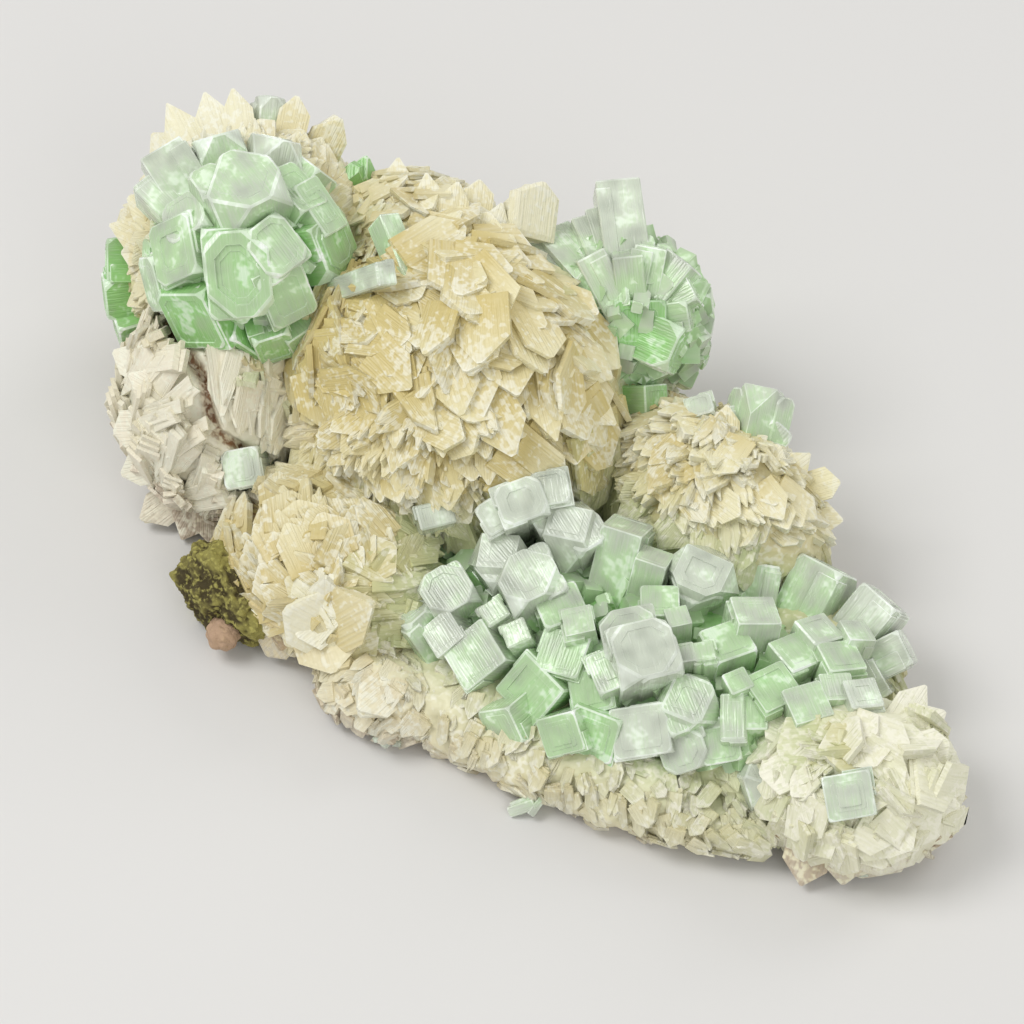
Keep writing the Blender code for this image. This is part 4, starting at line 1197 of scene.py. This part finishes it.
class ApophylliteLook(bpy.types.PropertyGroup):
    glass: colour("Glass", "Tint of the clear crystal", (0.95, 0.99, 0.93, 1))
    clear: colour("Clear", "Colour of the palest crystals", (0.88, 0.95, 0.79, 1))
    mint: colour("Mint", "Colour of the pale green crystals", (0.61, 0.84, 0.48, 1))
    green: colour("Green", "Colour of the green hearts", (0.33, 0.66, 0.22, 1))
    # The rim colour paints highlights along the crystal edges.
    rim: colour("Rim", "Colour of the white edges", (0.95, 1.0, 0.93, 1))
    ior: bpy.props.FloatProperty(
        name="Index of refraction", description="How strongly the crystal bends light", default=1.535
    )
    absorbed: colour("Absorption", "Colour that the clear crystal lets through", (0.50, 0.93, 0.50, 1))
    density: bpy.props.FloatProperty(
        name="Absorption density", description="How fast the clear crystal takes up light, per metre", default=30.0
    )
    milk: bpy.props.FloatProperty(
        name="Milk", description="Share of light that the crystal scatters", default=0.66, min=0, max=1, subtype="FACTOR"
    )
    bevel: bpy.props.FloatProperty(
        name="Edge width", description="Width of the softened crystal edges, in millimetres", default=0.22, min=0.02
    )


class StilbiteLook(bpy.types.PropertyGroup):
    cream: colour("Cream", "Colour of the blades", (0.84, 0.79, 0.52, 1))
    # Gold is also the colour of the painted shade towards the blade roots.
    gold: colour("Gold", "Colour of the golden pools", (0.64, 0.53, 0.22, 1))
    # White also paints the highlights on the blade rims and tips and the glints on the sugary grain.
    white: colour("White", "Colour of the rims and fibres", (0.90, 0.88, 0.72, 1))
    pink: colour("Pink", "Colour of the broken side", (0.84, 0.73, 0.60, 1))
    moss: colour("Moss", "Colour beside the apophyllite", (0.52, 0.62, 0.34, 1))
    rust: colour("Rust", "Colour of the broken edges", (0.26, 0.13, 0.06, 1))
    skin_voxel: bpy.props.FloatProperty(
        name="Skin detail", description="Grid of the crust's skin, in millimetres", default=0.62, min=0.3
    )


class BasaltLook(bpy.types.PropertyGroup):
    dark: colour("Dark", "Colour of the hollows", (0.06, 0.045, 0.012, 1))
    olive: colour("Olive", "Colour of the crests", (0.30, 0.27, 0.07, 1))
    lichen: colour("Lichen", "Colour of the grains", (0.50, 0.46, 0.13, 1))
    knob: colour("Knob", "Colour of the pink knob", (0.55, 0.36, 0.25, 1))


class StageLook(bpy.types.PropertyGroup):
    floor: colour("Floor", "Colour of the floor", (0.72, 0.71, 0.69, 1))
    key: bpy.props.FloatProperty(
        name="Key light", description="Power of the large light, in watts", default=3.6, min=0.0
    )
    ambient: bpy.props.FloatProperty(
        name="Ambient", description="Strength of the even light from all round", default=0.54, min=0.0
    )


class SPECIMEN_OT_crust(bpy.types.Operator):
    """Grow the stilbite crust: its skin and its blades"""

    bl_idname = "specimen.crust"
    bl_label = "Stilbite crust"

    def execute(self, context):
        look = context.scene.stilbite_look
        finish = stilbite_finish(look)
        line = crack_line()
        pools = [(seen(dome, pixel), reach, strength) for dome, pixel, reach, strength in POOLS]
        skin = skinned("stilbite_skin", CRUST_DOMES, look.skin_voxel, 0.5)
        roughened(
            skin, ((9.0, 0.8), (3.2, 0.8), (1.4, 0.5)), finish,
            # A rise of 0.35 gives the skin under the blades the painted golden shade of a blade's lower part.
            marks_at=lambda point: {"tone": 0.45, "rise": 0.35, **tints(point, line, pools)},
            push_at=lambda point: -CRACK_DEPTH * (1 - smoothstep(off_crack(point, line), 0.3, CRACK_WIDTH)),
        )
        clamped(skin)
        handed_over(skin, "stilbite", "stilbite_crust")
        places = picked_blades(line, pools)
        for seed, row in enumerate(SPRAYS):
            taken = [other[1] for other in SPRAYS[:seed] if other[0] == row[0] and other[1]]
            places += spray_places(row, seed, taken, line, pools)
        kept_inside(places, 0.5)
        places.sort(key=lambda place: place["point"].x)
        for number, name in enumerate(BLADE_PIECES):
            share = places[number * len(places) // len(BLADE_PIECES):(number + 1) * len(places) // len(BLADE_PIECES)]
            shapes = [blade_shape(kind, kind >= BLADE_KINDS) for kind in range(BLADE_KINDS + LATH_KINDS)]
            blades = planted(name, share, shapes, finish, ("gold", "pink", "moss", "rust", "tone"))
            trimmed_flat(blades)
            clamped(blades)
            handed_over(blades, "stilbite")
        return {"FINISHED"}


class SPECIMEN_OT_ball(bpy.types.Operator):
    """Grow the ball of apophyllite at the tall end"""

    bl_idname = "specimen.ball"
    bl_label = "Apophyllite ball"

    def execute(self, context):
        grow_cluster(context.scene.apophyllite_look, "apophyllite_ball", "ball", BALL, 1.6)
        return {"FINISHED"}


class SPECIMEN_OT_fan(bpy.types.Operator):
    """Grow the fan of apophyllite behind the centre dome"""

    bl_idname = "specimen.fan"
    bl_label = "Apophyllite fan"

    def execute(self, context):
        grow_cluster(context.scene.apophyllite_look, "apophyllite_fan", "fan", FAN, 3.8)
        return {"FINISHED"}


class SPECIMEN_OT_druse(bpy.types.Operator):
    """Grow the long druse of apophyllite along the front"""

    bl_idname = "specimen.druse"
    bl_label = "Apophyllite druse"

    def execute(self, context):
        grow_cluster(context.scene.apophyllite_look, "apophyllite_druse", "druse", DRUSE, 0.8)
        return {"FINISHED"}


class SPECIMEN_OT_loose(bpy.types.Operator):
    """Grow the apophyllite crystals that stand apart from the clusters, and the splinters"""

    bl_idname = "specimen.loose"
    bl_label = "Loose crystals"

    def execute(self, context):
        look = context.scene.apophyllite_look
        finish = bpy.data.materials.get("apophyllite glass") or apophyllite_finish(look)
        for seed, (node, (dome, rows)) in enumerate(LOOSE.items()):
            shapes = crystals_of(dome, rows, look.bevel, 300 + 10 * seed)
            piece = gathered(node + "_crystal", shapes, finish)
            clamped(piece)
            handed_over(piece, "apophyllite", node)
        splinters = []
        for seed, (dome, rows) in enumerate(SPLINTERS):
            splinters += crystals_of(dome, rows, look.bevel, 500 + 10 * seed)
        piece = gathered("apophyllite_splinters", splinters, finish)
        clamped(piece)
        handed_over(piece, "apophyllite")
        return {"FINISHED"}


class SPECIMEN_OT_basalt(bpy.types.Operator):
    """Shape the lump of basalt under the crust"""

    bl_idname = "specimen.basalt"
    bl_label = "Basalt"

    def execute(self, context):
        finish = basalt_finish(context.scene.basalt_look)
        lump = bmesh.new()
        bmesh.ops.create_icosphere(lump, subdivisions=6, radius=1)
        crests = {}
        for vertex in lump.verts:
            rough = noise.noise(vertex.co * 1.7 + Vector((3, 1, 4))) + 0.5 * noise.noise(vertex.co * 4.0)
            pits = noise.noise(vertex.co * 9.0) * 0.5 + noise.noise(vertex.co * 20.0) * 0.25
            crests[vertex.index] = rough + pits
            swell = [radius + 1.6 * rough + 1.0 * pits - 0.4 for radius in BASALT_RADII]
            vertex.co = Vector(BASALT_CENTRE) + Vector([vertex.co[i] * swell[i] for i in range(3)])
        marked(lump, crest=lambda vertex: crests[vertex.index], knob=0.0)
        centre, radius = BASALT_KNOB
        knob = bmesh.new()
        bmesh.ops.create_icosphere(knob, subdivisions=5, radius=radius * 0.94, matrix=Matrix.Translation(centre))
        for vertex in knob.verts:
            push = vertex.co - Vector(centre)
            vertex.co += push * 0.14 * noise.noise(vertex.co)
        marked(knob, crest=0.3, knob=0.85)
        for shape in (lump, knob):
            cut_flat(shape)
        piece = gathered("basalt_stone", [lump, knob], finish, smooth=True)
        handed_over(piece, "basalt", "basalt_lump")
        return {"FINISHED"}


class SPECIMEN_OT_stage(bpy.types.Operator):
    """Set the floor, the lights and the camera"""

    bl_idname = "specimen.stage"
    bl_label = "Stage"

    def execute(self, context):
        look = context.scene.stage_look
        made = bmesh.new()
        bmesh.ops.create_grid(made, x_segments=1, y_segments=1, size=2.0)
        mesh = bpy.data.meshes.new("floor")
        made.to_mesh(mesh)
        made.free()
        finish = Finish("floor")
        finish.show(finish.shader(Base_Color=look.floor, Roughness=0.8))
        mesh.materials.append(finish.material)
        floor = bpy.data.objects.new("floor", mesh)
        context.scene.collection.objects.link(floor)
        world = bpy.data.worlds.new("studio")
        world.use_nodes = True
        world.node_tree.nodes["Background"].inputs["Color"].default_value = (1, 1, 1, 1)
        world.node_tree.nodes["Background"].inputs["Strength"].default_value = look.ambient
        context.scene.world = world
        context.scene.view_settings.view_transform = "Standard"
        for name, place, side, power in (
            ("key", (-0.35, -0.35, 0.75), 0.45, look.key),
            ("fill", (0.65, -0.25, 0.5), 0.5, look.key * 0.35),
            ("back", (0.1, 0.7, 0.5), 0.4, look.key * 0.35),
        ):
            lamp = bpy.data.lights.new(name, "AREA")
            lamp.size = side
            lamp.energy = power
            lamp.cycles.max_bounces = 2
            light = bpy.data.objects.new(name, lamp)
            light.location = place
            light.rotation_euler = (Vector((0, 0, 0.02)) - Vector(place)).to_track_quat("-Z", "Y").to_euler()
            context.scene.collection.objects.link(light)
        lens = bpy.data.cameras.new("camera")
        lens.sensor_width = FILM_WIDTH
        lens.lens = FILM_WIDTH * PICTURE_DISTANCE / (PICTURE_SIDE * PICTURE_MM_PER_PIXEL)
        camera = bpy.data.objects.new("camera", lens)
        camera.location = to_part(EYE)
        camera.rotation_euler = (-TOWARDS_VIEWER).to_track_quat("-Z", "Y").to_euler()
        context.scene.collection.objects.link(camera)
        context.scene.camera = camera
        return {"FINISHED"}


def small_crystals(name, dome, spacing, sizes, finish, seed):
    """Small crystals all over a cluster's dome, turned at random and half sunk."""
    places = []
    for point, normal, chance in around(dome, spacing, 0.0, seed):
        if any(inside_depth(other, point) > 0.02 for other in CRUST_DOMES) or point.z < 1.5:
            continue
        axis = (normal + Vector([chance.gauss(0, 0.28) for _ in range(3)])).normalized()
        across = axis.orthogonal().normalized()
        across = Matrix.Rotation(chance.uniform(0, math.pi), 3, axis) @ across
        side = chance.uniform(*sizes)
        places.append({
            "point": point + normal * chance.uniform(0.2, 1.8), "axis": axis, "across": across,
            "size": (side, side * chance.uniform(0.8, 1.2), side * chance.uniform(1.0, 1.8)),
            "kind": chance.randrange(GRAIN_KINDS), "tint": chance.uniform(0.0, 0.35),
        })
    kept_inside(places, 1.0)
    shapes = []
    for kind in range(GRAIN_KINDS):
        shapes.append(crystal_shape(1, 1, 1.6, 0.25 * kind / GRAIN_KINDS, 0.25, 50 + kind, 0.0, (0,)))
    piece = planted(name, places, shapes, finish, ("tint",))
    clamped(piece)
    return piece


def grow_cluster(look, node, dome, rows, sink):
    """A cluster's crystals, large and small, and the clouded roots that they share."""
    finish = bpy.data.materials.get("apophyllite glass") or apophyllite_finish(look)
    roots = bpy.data.materials.get("apophyllite roots") or roots_finish(look)
    bed = skinned(node + "_roots", (dome,), 0.7, sink)
    roughened(bed, ((4.0, 0.9), (1.6, 0.4)), roots)
    clamped(bed)
    handed_over(bed, "apophyllite", node)
    crystals = gathered(node + "_crystals", crystals_of(dome, rows, look.bevel, len(rows)), finish)
    clamped(crystals)
    handed_over(crystals, "apophyllite")
    small = small_crystals(node + "_small", dome, 2.6, (1.5, 3.4), finish, len(rows))
    handed_over(small, "apophyllite")


OPERATORS = (
    SPECIMEN_OT_crust, SPECIMEN_OT_ball, SPECIMEN_OT_fan, SPECIMEN_OT_druse, SPECIMEN_OT_loose,
    SPECIMEN_OT_basalt, SPECIMEN_OT_stage,
)


class SPECIMEN_PT_panel(bpy.types.Panel):
    bl_idname = "SPECIMEN_PT_panel"
    bl_label = "Specimen"
    bl_space_type = "VIEW_3D"
    bl_region_type = "UI"
    bl_category = "Specimen"

    def draw(self, context):
        for operator in OPERATORS:
            self.layout.operator(operator.bl_idname)
        for name in LOOKS:
            box = self.layout.box()
            group = getattr(context.scene, name)
            for key in LOOKS[name].__annotations__:
                box.prop(group, key)


LOOKS = {
    "apophyllite_look": ApophylliteLook,
    "stilbite_look": StilbiteLook,
    "basalt_look": BasaltLook,
    "stage_look": StageLook,
}


def register():
    for group in LOOKS.values():
        bpy.utils.register_class(group)
    for name, group in LOOKS.items():
        setattr(bpy.types.Scene, name, bpy.props.PointerProperty(type=group))
    for operator in OPERATORS:
        bpy.utils.register_class(operator)
    bpy.utils.register_class(SPECIMEN_PT_panel)


def unregister():
    bpy.utils.unregister_class(SPECIMEN_PT_panel)
    for operator in reversed(OPERATORS):
        bpy.utils.unregister_class(operator)
    for name, group in LOOKS.items():
        delattr(bpy.types.Scene, name)
        bpy.utils.unregister_class(group)


def main():
    register()
    bpy.ops.specimen.stage()
    bpy.ops.specimen.crust()
    bpy.ops.specimen.ball()
    bpy.ops.specimen.fan()
    bpy.ops.specimen.druse()
    bpy.ops.specimen.loose()
    bpy.ops.specimen.basalt()


if __name__ == "__main__":
    main()
